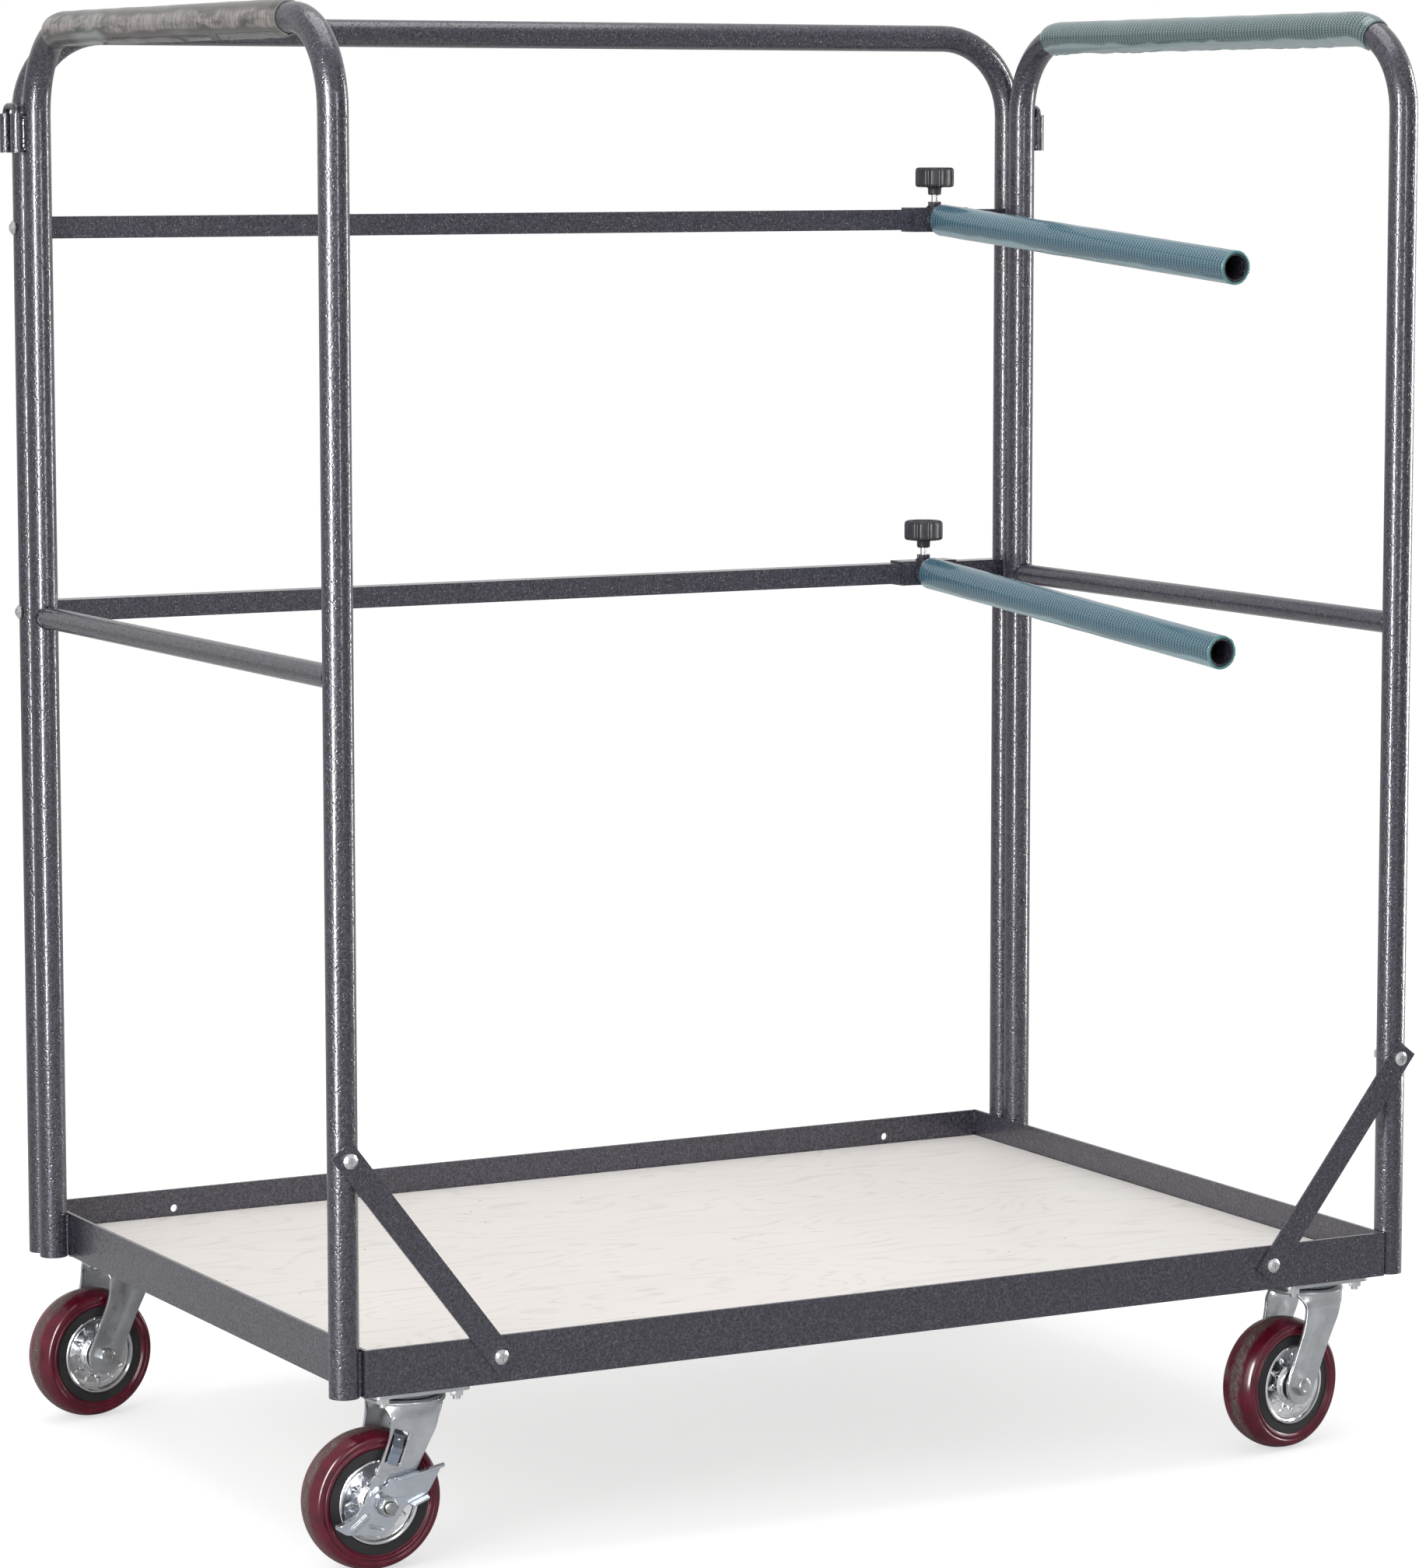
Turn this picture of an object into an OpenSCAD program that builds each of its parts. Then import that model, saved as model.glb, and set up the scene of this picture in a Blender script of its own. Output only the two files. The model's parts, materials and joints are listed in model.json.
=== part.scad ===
// Platform trolley for boards, panels and furniture: a deck on four swivel casters, two end
// hoops, and a lift-off rear hoop whose rails carry two sliding padded arms.
// Millimetres. +Z is up, the floor is Z = 0, and the origin lies under the middle of the deck.
// The long, open front faces -Y.

/* [Deck] */
// Length of the deck frame, along X
deck_l = 1275; // [1150:5:1500]
// Depth of the deck frame, along Y
deck_w = 900; // [820:5:1000]
// Height of the angle iron that forms the rim
rim_h = 50; // [48:1:60]
// Width of the angle iron's lower flange, which carries the board
flange_w = 50; // [45:1:60]
// Thickness of the angle iron
rim_t = 4; // [3:0.5:5]
// Thickness of the deck board
board_t = 14; // [12:1:18]

/* [Hoops] */
// Outside diameter of the hoop tubes
tube_d = 32; // [30:0.5:34]
// Wall thickness of the hoop tubes
tube_wall = 2; // [1.5:0.25:2.5]
// Height of the hoops' top bars above the underside of the deck frame
hoop_h = 1410; // [1300:10:1500]
// Bend radius of the hoops, to the middle of the tube
bend_r = 95; // [80:5:110]
// Distance from the rear edge of the deck to the rear legs of the end hoops
rear_leg_inset = 72; // [60:1:90]
// Height of the end hoops' cross bars above the underside of the deck frame
cross_bar_h = 744; // [600:1:900]
// Outside diameter of the cross bars
cross_bar_d = 25; // [20:1:28]

/* [Rails and arms] */
// Height of the upper rail above the underside of the deck frame
upper_rail_h = 1187; // [1100:1:1200]
// Height of the lower rail above the underside of the deck frame
lower_rail_h = 748; // [600:1:900]
// Side of the square rail tubes
rail_s = 25; // [22:1:26]
// Place of the upper arm along X
upper_arm_x = 548; // [-590:1:590]
// Place of the lower arm along X
lower_arm_x = 534; // [-590:1:590]
// Length of the arms
arm_l = 658; // [500:1:700]
// Slope of the arms, down towards the front, in degrees
arm_droop = 4; // [0:0.5:5]
// Outside diameter of the arm hoses
hose_d = 39; // [37:0.5:41]

/* [Casters] */
// Height of a caster from the floor to the top of its plate
caster_h = 195; // [190:1:200]
// Diameter of the wheels
wheel_d = 150; // [140:1:152]
// Width of the tread
tread_w = 48; // [44:1:48]
// Distance that a wheel trails behind its kingpin
trail = 40; // [30:1:45]
// Turn of the front right fork at rest, in degrees
front_right_turn = 12; // [-30:1:30]
// Turn of the rear left fork at rest, in degrees
rear_left_turn = 10; // [-30:1:30]
// Turn of the rear right fork at rest, in degrees
rear_right_turn = 4; // [-30:1:30]

/* [Hidden] */
$fn = 64;
eps = 0.01;

// Levels
deck_z = caster_h;
rim_top = deck_z + rim_h;
board_z = deck_z + rim_t;
hoop_z = deck_z + hoop_h;

// Hoop legs
tube_r = tube_d / 2;
bore_r = tube_r - tube_wall;
leg_x = deck_l / 2 + tube_r;
front_y = -deck_w / 2 + tube_r;
rear_y = deck_w / 2 - rear_leg_inset;
hoop_gap = 2;
back_y = rear_y + tube_d + hoop_gap;
seam = 0.6;
leg_z = rim_top + seam;
spigot_clearance = 0.05;
spigot_wall = 2.5;
spigot_l = 105;
spigot_z = deck_z + 2;
cope = 0.1;
weld_r = 2.5;

// Grip sleeves on the end hoops
grip_wall = 3;
grip_gap = 0.4;
grip_r = tube_r + grip_gap + grip_wall;

// Braces
brace_w = 28;
brace_t = 3;
brace_end = 15;
brace_post_z = deck_z + 250;
brace_rim_x = 483;
brace_rim_z = deck_z + 28;

// M8 fasteners
m8_r = 4;
m8_hole_r = 4.3;
m8_head_r = 8;
m8_head_h = 5;
m8_nut_af = 13;
m8_nut_h = 6.5;
nut_gap = 0.05;

// Spare holes in the rear rim
rear_hole_x = [-474, 500];
rear_hole_r = 4.5;
rear_hole_z = deck_z + 27;

// Deck bearers and corner gussets
bearer_x = 212;
bearer_w = 40;
bearer_drop = 16;
gusset_l = 140;
gusset_w = 125;

// Lock pins and their sleeves
pin_r = 4;
pin_sleeve_r = 7.5;
pin_sleeve_bore_r = 4.3;
pin_sleeve_l = 44;
pin_sleeve_z = deck_z + 1272;
pin_bend_r = 8;
pin_rise = 50;
pin_x = leg_x + tube_r + pin_sleeve_r;

// Rails, clamps and arms
rail_wall = 1.5;
plug_l = 20;
plug_gap = 0.1;
button_r = 8;
button_h = 4.5;
clamp_s = 30;
clamp_wall = 2;
clamp_l = 78;
clamp_nut_af = 16;
clamp_nut_h = 7;
clamp_face_y = back_y - clamp_s / 2;
arm_r = 16;
hose_gap = 0.3;
hose_start = 4;
screw_r = 4;
screw_bore_r = 4.08;
screw_tip_gap = 0.2;
screw_l = 41;
knob_r = 24;
knob_h = 24.5;
knob_z = 40;
collar_r = 8.2;
collar_h = 9.5;
knob_bore_r = 4.05;

// Casters: kingpin place, turn at rest, and side of the brake (1 is towards +Y)
kingpin_x = deck_l / 2 - 70.5;
kingpin_y = deck_w / 2 - 55;
front_left = [-kingpin_x, -kingpin_y, 0, -1];
front_right = [kingpin_x, -kingpin_y, front_right_turn, 1];
rear_left = [-kingpin_x, kingpin_y, rear_left_turn, 1];
rear_right = [kingpin_x, kingpin_y, rear_right_turn, 1];
casters = [front_left, front_right, rear_left, rear_right];
plate_l = 110;
plate_w = 100;
plate_t = 5;
plate_corner_r = 10;
plate_bolt_x = 42;
plate_bolt_y = 38;
plate_z = deck_z - plate_t;
race_r = 38;
race_h = 6;
race_gap = 0.5;
crown_r = 42.5;
crown_t = 6;
crown_top = plate_z - race_h - race_gap;
crown_z = crown_top - crown_t;
kingpin_r = 6.5;
kingpin_clearance = 0.05;
kingpin_head_r = 11;
kingpin_head_h = 8;
leg_in = 30;
leg_t = 4;
leg_out = leg_in + leg_t;
axle_z = wheel_d / 2;
axle_r = 6;
axle_clearance = 0.05;
axle_head_af = 19;
axle_head_h = 7.5;
axle_nut_h = 9;
leg_end_r = 21;
skirt_drop = 11;
skirt_r = 36;
window_w = 18;
window_l = 36;
window_x = -18.5;
window_z = 151;
window_tilt = 20;
leaf_t = 2;
leaf_w = 13;
shoe_l = 25;
shoe_rise = 18;
pedal_t = 2.5;
pedal_y = leg_out + 2;
pedal_bore_r = 6.3;

// Wheels
core_r = 56;
core_w = 42;
hub_r = 16;
hub_w = 56;
cap_r = 45.5;
cap_recess = 6.5;
cap_rim_w = 4.5;
cap_t = 1.8;
cap_gap = 0.1;
crown_arc_r = 60;

paint = "#3f3d49";
zinc = "#b4b8ba";
teal = "#3d8285";

// ---------- shared shapes ----------

// A tube along Z that starts at the origin
module tube(length, outer, inner) {
    difference() {
        cylinder(h = length, r = outer);
        translate([0, 0, -1])
            cylinder(h = length + 2, r = inner);
    }
}

// A quarter bend or less: it starts at the origin along +Z and curves towards +X
module bend(radius, outer, inner, turn = 90) {
    translate([radius, 0, 0])
        rotate([90, 0, 0])
            mirror([1, 0, 0])
                rotate_extrude(angle = turn)
                    translate([radius, 0])
                        difference() {
                            circle(r = outer);
                            circle(r = inner);
                        }
}

// A hoop in the XZ plane with its legs at +-span / 2; height is that of the top bar's middle
module hoop(span, height, outer, inner, radius) {
    for (side = [0, 1])
        mirror([side, 0, 0])
            translate([-span / 2, 0, 0]) {
                tube(height - radius, outer, inner);
                translate([0, 0, height - radius])
                    bend(radius, outer, inner);
            }
    translate([-span / 2 + radius, 0, height])
        rotate([0, 90, 0])
            tube(span - 2 * radius, outer, inner);
}

// A hexagonal nut or head along Z
module hexagon(across_flats, height) {
    cylinder(h = height, r = across_flats / 2 / cos(30), $fn = 6);
}

// A pan-head screw along Z: its head stands on the origin and its shank points down
module pan_screw(shank_l) {
    difference() {
        union() {
            cylinder(h = m8_head_h * 0.5, r = m8_head_r);
            translate([0, 0, m8_head_h * 0.5])
                cylinder(h = m8_head_h * 0.5, r1 = m8_head_r, r2 = m8_head_r * 0.62);
        }
        for (turn = [0, 90])
            rotate([0, 0, turn])
                translate([-3.6, -0.7, m8_head_h - 2.2])
                    cube([7.2, 1.4, 3]);
    }
    translate([0, 0, -shank_l])
        cylinder(h = shank_l, r = m8_r);
}

module m8_nut() {
    difference() {
        hexagon(m8_nut_af, m8_nut_h);
        translate([0, 0, -1])
            cylinder(h = m8_nut_h + 2, r = m8_r + nut_gap);
    }
}

// Both sides of the trolley, the left one at -X
module both_sides() {
    for (side = [0, 1])
        mirror([side, 0, 0])
            children();
}

// ---------- deck ----------

module deck_frame() {
    color(paint)
        difference() {
            union() {
                difference() {
                    translate([-deck_l / 2, -deck_w / 2, deck_z])
                        cube([deck_l, deck_w, rim_h]);
                    translate([-deck_l / 2 + rim_t, -deck_w / 2 + rim_t, deck_z + rim_t])
                        cube([deck_l - 2 * rim_t, deck_w - 2 * rim_t, rim_h]);
                    translate([-deck_l / 2 + flange_w, -deck_w / 2 + flange_w, deck_z - 1])
                        cube([deck_l - 2 * flange_w, deck_w - 2 * flange_w, rim_h]);
                }
                for (c = casters)
                    corner_gusset(sign(c[0]), sign(c[1]));
                both_sides()
                    bearer();
            }
            for (x = rear_hole_x)
                translate([x, deck_w / 2 + 1, rear_hole_z])
                    rotate([90, 0, 0])
                        cylinder(h = rim_t + 2, r = rear_hole_r);
            both_sides()
                translate([brace_rim_x, -deck_w / 2 + rim_t + 1, brace_rim_z])
                    rotate([90, 0, 0])
                        cylinder(h = rim_t + 2, r = m8_hole_r);
            for (c = casters)
                translate([c[0], c[1], 0])
                    plate_bolts_at()
                        translate([0, 0, deck_z - 1])
                            cylinder(h = rim_t + 2, r = m8_hole_r);
        }
}

// A flat plate welded inside a corner, which the caster plate bolts to
module corner_gusset(x_side, y_side) {
    translate([
        x_side > 0 ? deck_l / 2 - gusset_l : -deck_l / 2,
        y_side > 0 ? deck_w / 2 - gusset_w : -deck_w / 2,
        deck_z
    ])
        cube([gusset_l, gusset_w, rim_t]);
}

// An angle across the frame, under the board
module bearer() {
    translate([bearer_x - bearer_w / 2, -deck_w / 2 + flange_w - 1, deck_z])
        cube([bearer_w, deck_w - 2 * flange_w + 2, rim_t]);
    translate([bearer_x - bearer_w / 2, -deck_w / 2 + flange_w, deck_z + rim_t - bearer_drop])
        cube([rim_t, deck_w - 2 * flange_w, bearer_drop]);
}

module deck_board() {
    gap = 1;
    color("#e6e1da")
        translate([-deck_l / 2 + rim_t + gap, -deck_w / 2 + rim_t + gap, board_z])
            cube([deck_l - 2 * (rim_t + gap), deck_w - 2 * (rim_t + gap), board_t]);
}

// One socket with the two weld beads that join it to the rim
module leg_socket(y) {
    bead_y = sqrt(pow(tube_r, 2) - pow(tube_r - weld_r, 2));
    translate([leg_x, y, deck_z])
        difference() {
            union() {
                cylinder(h = rim_h, r = tube_r);
                for (side = [-1, 1])
                    translate([-tube_r + weld_r, side * bead_y, 2])
                        cylinder(h = rim_h - 4, r = weld_r - 0.02);
            }
            translate([0, 0, -1])
                cylinder(h = rim_h + 2, r = bore_r);
        }
}

module leg_sockets() {
    color(paint)
        both_sides()
            for (y = [front_y, rear_y, back_y])
                leg_socket(y);
}

module spigot(y) {
    outer = bore_r - spigot_clearance;
    translate([leg_x, y, spigot_z])
        tube(spigot_l, outer, outer - spigot_wall);
}

module end_hoop_spigots() {
    color(zinc)
        both_sides()
            for (y = [front_y, rear_y])
                spigot(y);
}

// ---------- end hoops ----------

// The right-hand end hoop; the left-hand one is its mirror image
module end_hoop() {
    difference() {
        translate([leg_x, (front_y + rear_y) / 2, leg_z])
            rotate([0, 0, 90])
                hoop(rear_y - front_y, hoop_z - leg_z, tube_r, bore_r, bend_r);
        translate([leg_x, front_y + tube_r + 1, brace_post_z])
            rotate([90, 0, 0])
                cylinder(h = tube_d + 2, r = m8_hole_r);
    }
}

module left_end_hoop() {
    color(paint)
        mirror([1, 0, 0])
            end_hoop();
}

module right_end_hoop() {
    color(paint)
        end_hoop();
}

module cross_bars() {
    color(paint)
        both_sides()
            difference() {
                translate([leg_x, rear_y, deck_z + cross_bar_h])
                    rotate([90, 0, 0])
                        tube(rear_y - front_y, cross_bar_d / 2, cross_bar_d / 2 - 1.5);
                for (y = [front_y, rear_y])
                    translate([leg_x, y, deck_z + cross_bar_h - cross_bar_d])
                        cylinder(h = 2 * cross_bar_d, r = tube_r + cope);
            }
}

// A slit hose round the top bar from front_end to the rear bend, with a turned-down rear end
module grip_sleeve(front_end, front_turn, rear_turn) {
    inner = tube_r + grip_gap;
    straight_rear = rear_y - bend_r;
    translate([0, front_end, hoop_z])
        rotate([-90, 0, 0])
            tube(straight_rear - front_end, grip_r, inner);
    translate([0, straight_rear, hoop_z])
        rotate([0, 0, 90])
            rotate([0, 90, 0])
                bend(bend_r, grip_r, inner, rear_turn);
    if (front_turn > 0)
        translate([0, front_end, hoop_z])
            rotate([0, 0, -90])
                rotate([0, 90, 0])
                    bend(bend_r, grip_r, inner, front_turn);
}

module left_grip_sleeve() {
    color("#5f6d5f")
        translate([-leg_x, 0, 0])
            grip_sleeve(front_y + bend_r + 10, 0, 35);
}

module right_grip_sleeve() {
    color("#7fa39c")
        translate([leg_x, 0, 0])
            grip_sleeve(front_y + bend_r, 24, 23);
}

// ---------- braces ----------

// The right-hand brace: a flat bar from the front leg down to the front rim
module brace() {
    run = leg_x - brace_rim_x;
    rise = brace_post_z - brace_rim_z;
    hole_span = sqrt(run * run + rise * rise);
    translate([brace_rim_x, -deck_w / 2, brace_rim_z])
        rotate([0, -atan2(rise, run), 0])
            difference() {
                translate([-brace_end, -brace_t, -brace_w / 2])
                    cube([hole_span + 2 * brace_end, brace_t, brace_w]);
                for (x = [0, hole_span])
                    translate([x, 1, 0])
                        rotate([90, 0, 0])
                            cylinder(h = brace_t + 2, r = m8_hole_r);
            }
}

module left_brace() {
    color(paint)
        mirror([1, 0, 0])
            brace();
}

module right_brace() {
    color(paint)
        brace();
}

module brace_fasteners() {
    head_y = -deck_w / 2 - brace_t;
    rim_shank = brace_t + rim_t + m8_nut_h + 3;
    post_shank = brace_t + tube_d + m8_nut_h + 4;
    color(zinc)
        both_sides() {
            translate([brace_rim_x, head_y, brace_rim_z])
                rotate([90, 0, 0])
                    pan_screw(rim_shank);
            translate([brace_rim_x, -deck_w / 2 + rim_t, brace_rim_z])
                rotate([-90, 30, 0])
                    m8_nut();
            translate([leg_x, head_y, brace_post_z])
                rotate([90, 0, 0])
                    pan_screw(post_shank);
            translate([leg_x, front_y + tube_r, brace_post_z])
                rotate([-90, 30, 0])
                    m8_nut();
        }
}

// ---------- rear hoop ----------

module rail_bolt_heights() {
    for (z = [deck_z + upper_rail_h, deck_z + lower_rail_h])
        translate([0, 0, z])
            children();
}

module rear_hoop() {
    color(paint)
        difference() {
            translate([0, back_y, leg_z])
                hoop(2 * leg_x, hoop_z - leg_z, tube_r, bore_r, bend_r);
            rail_bolt_heights()
                both_sides()
                    translate([leg_x - tube_d, back_y, 0])
                        rotate([0, 90, 0])
                            cylinder(h = 2 * tube_d, r = m8_hole_r);
        }
}

module rear_hoop_spigots() {
    color(zinc)
        both_sides()
            spigot(back_y);
}

// A square tube between the rear hoop's legs, with its ends shaped to fit them
module rail(height) {
    inner = rail_s - 2 * rail_wall;
    translate([0, back_y, deck_z + height])
        difference() {
            cube([2 * leg_x, rail_s, rail_s], center = true);
            cube([2 * leg_x + 2, inner, inner], center = true);
            both_sides()
                translate([leg_x, 0, -rail_s])
                    cylinder(h = 2 * rail_s, r = tube_r + cope);
        }
}

module upper_rail() {
    color(paint)
        rail(upper_rail_h);
}

module lower_rail() {
    color(paint)
        rail(lower_rail_h);
}

// Threaded plugs in the rails' ends and the button-head bolts that hold them to the legs
module rail_fasteners() {
    plug_s = rail_s - 2 * rail_wall - 2 * plug_gap;
    plug_x = leg_x - tube_r - 0.5 - plug_l;
    color(zinc)
        rail_bolt_heights()
            both_sides() {
                translate([plug_x, back_y, 0])
                    difference() {
                        translate([0, -plug_s / 2, -plug_s / 2])
                            cube([plug_l, plug_s, plug_s]);
                        translate([-1, 0, 0])
                            rotate([0, 90, 0])
                                cylinder(h = plug_l + 2, r = m8_r + nut_gap);
                    }
                translate([leg_x, back_y, 0])
                    rail_bolt(plug_x);
            }
}

// A button-head bolt along X, seen from the middle of its leg
module rail_bolt(plug_x) {
    shank_start = plug_x + 3 - leg_x;
    head_x = tube_r + nut_gap;
    brim = 1.6;
    translate([shank_start, 0, 0])
        rotate([0, 90, 0])
            cylinder(h = head_x + 0.5 - shank_start, r = m8_r);
    translate([head_x, 0, 0])
        rotate([0, 90, 0])
            difference() {
                union() {
                    cylinder(h = brim, r = button_r);
                    translate([0, 0, brim])
                        cylinder(h = button_h - brim, r1 = button_r, r2 = button_r * 0.55);
                }
                translate([0, 0, button_h - 2])
                    hexagon(5, 3);
            }
}

// ---------- lock pins ----------

// A pin sleeve with the weld beads that join it to a leg
module pin_sleeve(y) {
    reach = pin_sleeve_r + tube_r;
    bead = 2;
    bead_x = (pow(reach, 2) + pow(pin_sleeve_r + bead * 0.6, 2) - pow(tube_r + bead * 0.6, 2)) / (2 * reach);
    bead_y = sqrt(pow(pin_sleeve_r + bead * 0.6, 2) - pow(bead_x, 2));
    translate([pin_x, y, pin_sleeve_z])
        difference() {
            union() {
                cylinder(h = pin_sleeve_l, r = pin_sleeve_r);
                for (side = [-1, 1])
                    translate([-bead_x, side * bead_y, 3])
                        cylinder(h = pin_sleeve_l - 6, r = bead);
            }
            translate([0, 0, -1])
                cylinder(h = pin_sleeve_l + 2, r = pin_sleeve_bore_r);
            translate([-reach, 0, -1])
                cylinder(h = pin_sleeve_l + 2, r = tube_r + 0.02);
        }
}

module end_pin_sleeves() {
    color(paint)
        both_sides()
            pin_sleeve(rear_y);
}

module rear_pin_sleeves() {
    color(paint)
        both_sides()
            pin_sleeve(back_y);
}

// An upside-down U of round bar that drops into the two sleeves of one side
module lock_pin() {
    span = back_y - rear_y;
    bottom = pin_sleeve_z + 2;
    translate([pin_x, (rear_y + back_y) / 2, bottom])
        rotate([0, 0, 90]) {
            for (side = [0, 1])
                mirror([side, 0, 0])
                    translate([-span / 2, 0, 0]) {
                        cylinder(h = pin_rise - pin_bend_r, r = pin_r);
                        translate([pin_bend_r, 0, pin_rise - pin_bend_r])
                            rotate([90, 0, 0])
                                rotate([0, 0, 90])
                                    rotate_extrude(angle = 90)
                                        translate([pin_bend_r, 0])
                                            circle(r = pin_r);
                    }
            translate([-span / 2 + pin_bend_r, 0, pin_rise])
                rotate([0, 90, 0])
                    cylinder(h = span - 2 * pin_bend_r, r = pin_r);
        }
}

module left_lock_pin() {
    color(paint)
        mirror([1, 0, 0])
            lock_pin();
}

module right_lock_pin() {
    color(paint)
        lock_pin();
}

// ---------- sliding clamps and arms ----------

// Moves its children from the origin to the middle of a clamp on its rail
module at_clamp(x, height) {
    translate([x, back_y, deck_z + height])
        children();
}

// Moves its children to the root of an arm, with +Z along the arm
module along_arm() {
    translate([0, -clamp_s / 2, 0])
        rotate([90 + arm_droop, 0, 0])
            children();
}

// Keeps the part of its children that is in front of a clamp's front face
module in_front_of_clamp() {
    difference() {
        children();
        translate([-50, -clamp_s / 2, -50])
            cube([100, 100, 100]);
    }
}

// The sleeve that slides on the rail, with the nut welded on its top
module clamp() {
    hole = clamp_s - 2 * clamp_wall;
    color(paint)
        difference() {
            union() {
                cube([clamp_l, clamp_s, clamp_s], center = true);
                translate([0, 0, clamp_s / 2 - eps])
                    hexagon(clamp_nut_af, clamp_nut_h + eps);
            }
            cube([clamp_l + 2, hole, hole], center = true);
            cylinder(h = clamp_s, r = screw_bore_r);
        }
}

module arm() {
    color(paint)
        in_front_of_clamp()
            along_arm() {
                translate([0, 0, -5])
                    tube(arm_l + 5, arm_r, arm_r - tube_wall);
                rotate_extrude()
                    translate([arm_r, 0])
                        circle(r = weld_r, $fn = 24);
            }
}

module arm_hose() {
    color(teal)
        in_front_of_clamp()
            along_arm()
                translate([0, 0, hose_start])
                    tube(arm_l - hose_start, hose_d / 2, arm_r + hose_gap);
}

module clamp_screw() {
    color(zinc)
        translate([0, 0, rail_s / 2 + screw_tip_gap])
            cylinder(h = screw_l, r = screw_r);
}

module clamp_knob() {
    flutes = 8;
    dish_r = 16;
    color("#302f38")
        translate([0, 0, knob_z])
            difference() {
                union() {
                    cylinder(h = knob_h, r = knob_r);
                    translate([0, 0, -collar_h])
                        cylinder(h = collar_h + eps, r = collar_r);
                }
                for (i = [0 : flutes - 1])
                    rotate([0, 0, i * 360 / flutes])
                        translate([knob_r + 6.5, 0, -1])
                            cylinder(h = knob_h + 2, r = 8);
                translate([0, 0, knob_h - 2])
                    cylinder(h = 3, r = dish_r);
                translate([0, 0, -collar_h - 1])
                    cylinder(h = collar_h + 1 + screw_l - knob_z + rail_s / 2 + 1, r = knob_bore_r);
            }
}

module upper_clamp() { at_clamp(upper_arm_x, upper_rail_h) clamp(); }
module upper_arm() { at_clamp(upper_arm_x, upper_rail_h) arm(); }
module upper_arm_hose() { at_clamp(upper_arm_x, upper_rail_h) arm_hose(); }
module upper_clamp_screw() { at_clamp(upper_arm_x, upper_rail_h) clamp_screw(); }
module upper_clamp_knob() { at_clamp(upper_arm_x, upper_rail_h) clamp_knob(); }
module lower_clamp() { at_clamp(lower_arm_x, lower_rail_h) clamp(); }
module lower_arm() { at_clamp(lower_arm_x, lower_rail_h) arm(); }
module lower_arm_hose() { at_clamp(lower_arm_x, lower_rail_h) arm_hose(); }
module lower_clamp_screw() { at_clamp(lower_arm_x, lower_rail_h) clamp_screw(); }
module lower_clamp_knob() { at_clamp(lower_arm_x, lower_rail_h) clamp_knob(); }

// ---------- casters ----------

module plate_bolts_at() {
    for (x = [-plate_bolt_x, plate_bolt_x], y = [-plate_bolt_y, plate_bolt_y])
        translate([x, y, 0])
            children();
}

// Moves its children from the origin to a caster's kingpin, without its turn
module at_corner(c) {
    translate([c[0], c[1], 0])
        children();
}

// The same, turned with the fork, whose wheel trails towards -X
module at_fork(c) {
    translate([c[0], c[1], 0])
        rotate([0, 0, c[2]])
            children();
}

// The same, with the origin on the axle and +Z along it
module at_axle(c) {
    at_fork(c)
        translate([-trail, 0, axle_z])
            rotate([-90, 0, 0])
                children();
}

// The studs that hold the caster plates, each with its nut
module caster_fasteners() {
    stud_z = plate_z - m8_nut_h - 4;
    color(zinc)
        for (c = casters)
            at_corner(c)
                plate_bolts_at() {
                    translate([0, 0, stud_z])
                        cylinder(h = deck_z + rim_t - stud_z, r = m8_r);
                    translate([0, 0, plate_z - m8_nut_h])
                        hexagon(m8_nut_af, m8_nut_h);
                }
}

// The top plate with the upper ball race and the riveted kingpin
module caster_plate(c) {
    inner_l = plate_l - 2 * plate_corner_r;
    inner_w = plate_w - 2 * plate_corner_r;
    color(zinc)
        at_corner(c) {
            difference() {
                union() {
                    translate([0, 0, plate_z])
                        linear_extrude(plate_t) {
                            square([plate_l, inner_w], center = true);
                            square([inner_l, plate_w], center = true);
                            for (x = [-1, 1], y = [-1, 1])
                                translate([x * inner_l / 2, y * inner_w / 2])
                                    circle(r = plate_corner_r);
                        }
                    translate([0, 0, plate_z - race_h])
                        cylinder(h = race_h + eps, r1 = race_r - 1, r2 = race_r + 2);
                }
                plate_bolts_at()
                    translate([0, 0, plate_z - 1])
                        cylinder(h = plate_t + 2, r = m8_hole_r);
            }
            translate([0, 0, crown_z - race_gap - 1])
                cylinder(h = crown_t + race_gap + 3, r = kingpin_r);
            translate([0, 0, crown_z - race_gap - kingpin_head_h])
                cylinder(h = kingpin_head_h, r = kingpin_head_r);
        }
}

// One cheek of the fork seen from the side, with the axle hole at (-trail, axle_z)
module fork_cheek() {
    difference() {
        union() {
            polygon([
                [-27, crown_z], [22, crown_z], [21, 153], [1, 115],
                [-trail + 20.5, axle_z + 5], [-trail - 19, axle_z + 9], [-33, 142]
            ]);
            translate([-trail, axle_z])
                circle(r = leg_end_r);
        }
        translate([-trail, axle_z])
            circle(r = axle_r + 0.1);
    }
}

module fork_window() {
    translate([window_x, window_z])
        rotate(-window_tilt)
            translate([-window_w / 2, -window_l])
                square([window_w, window_l]);
}

// brake is 0 for a plain fork, or the side of the cheek that has the window
module fork(c, brake = 0) {
    color(zinc)
        at_fork(c)
            difference() {
                union() {
                    translate([0, 0, crown_z])
                        cylinder(h = crown_t, r = crown_r);
                    for (side = [-1, 1])
                        translate([0, side > 0 ? leg_out : -leg_in, 0])
                            rotate([90, 0, 0])
                                linear_extrude(leg_t)
                                    fork_cheek();
                    fork_skirt();
                }
                translate([0, 0, crown_z - 1])
                    cylinder(h = crown_t + 2, r = kingpin_r + kingpin_clearance);
                if (brake != 0)
                    translate([0, brake > 0 ? leg_out + 1 : -leg_in + 1, 0])
                        rotate([90, 0, 0])
                            linear_extrude(leg_t + 2)
                                fork_window();
            }
}

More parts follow.
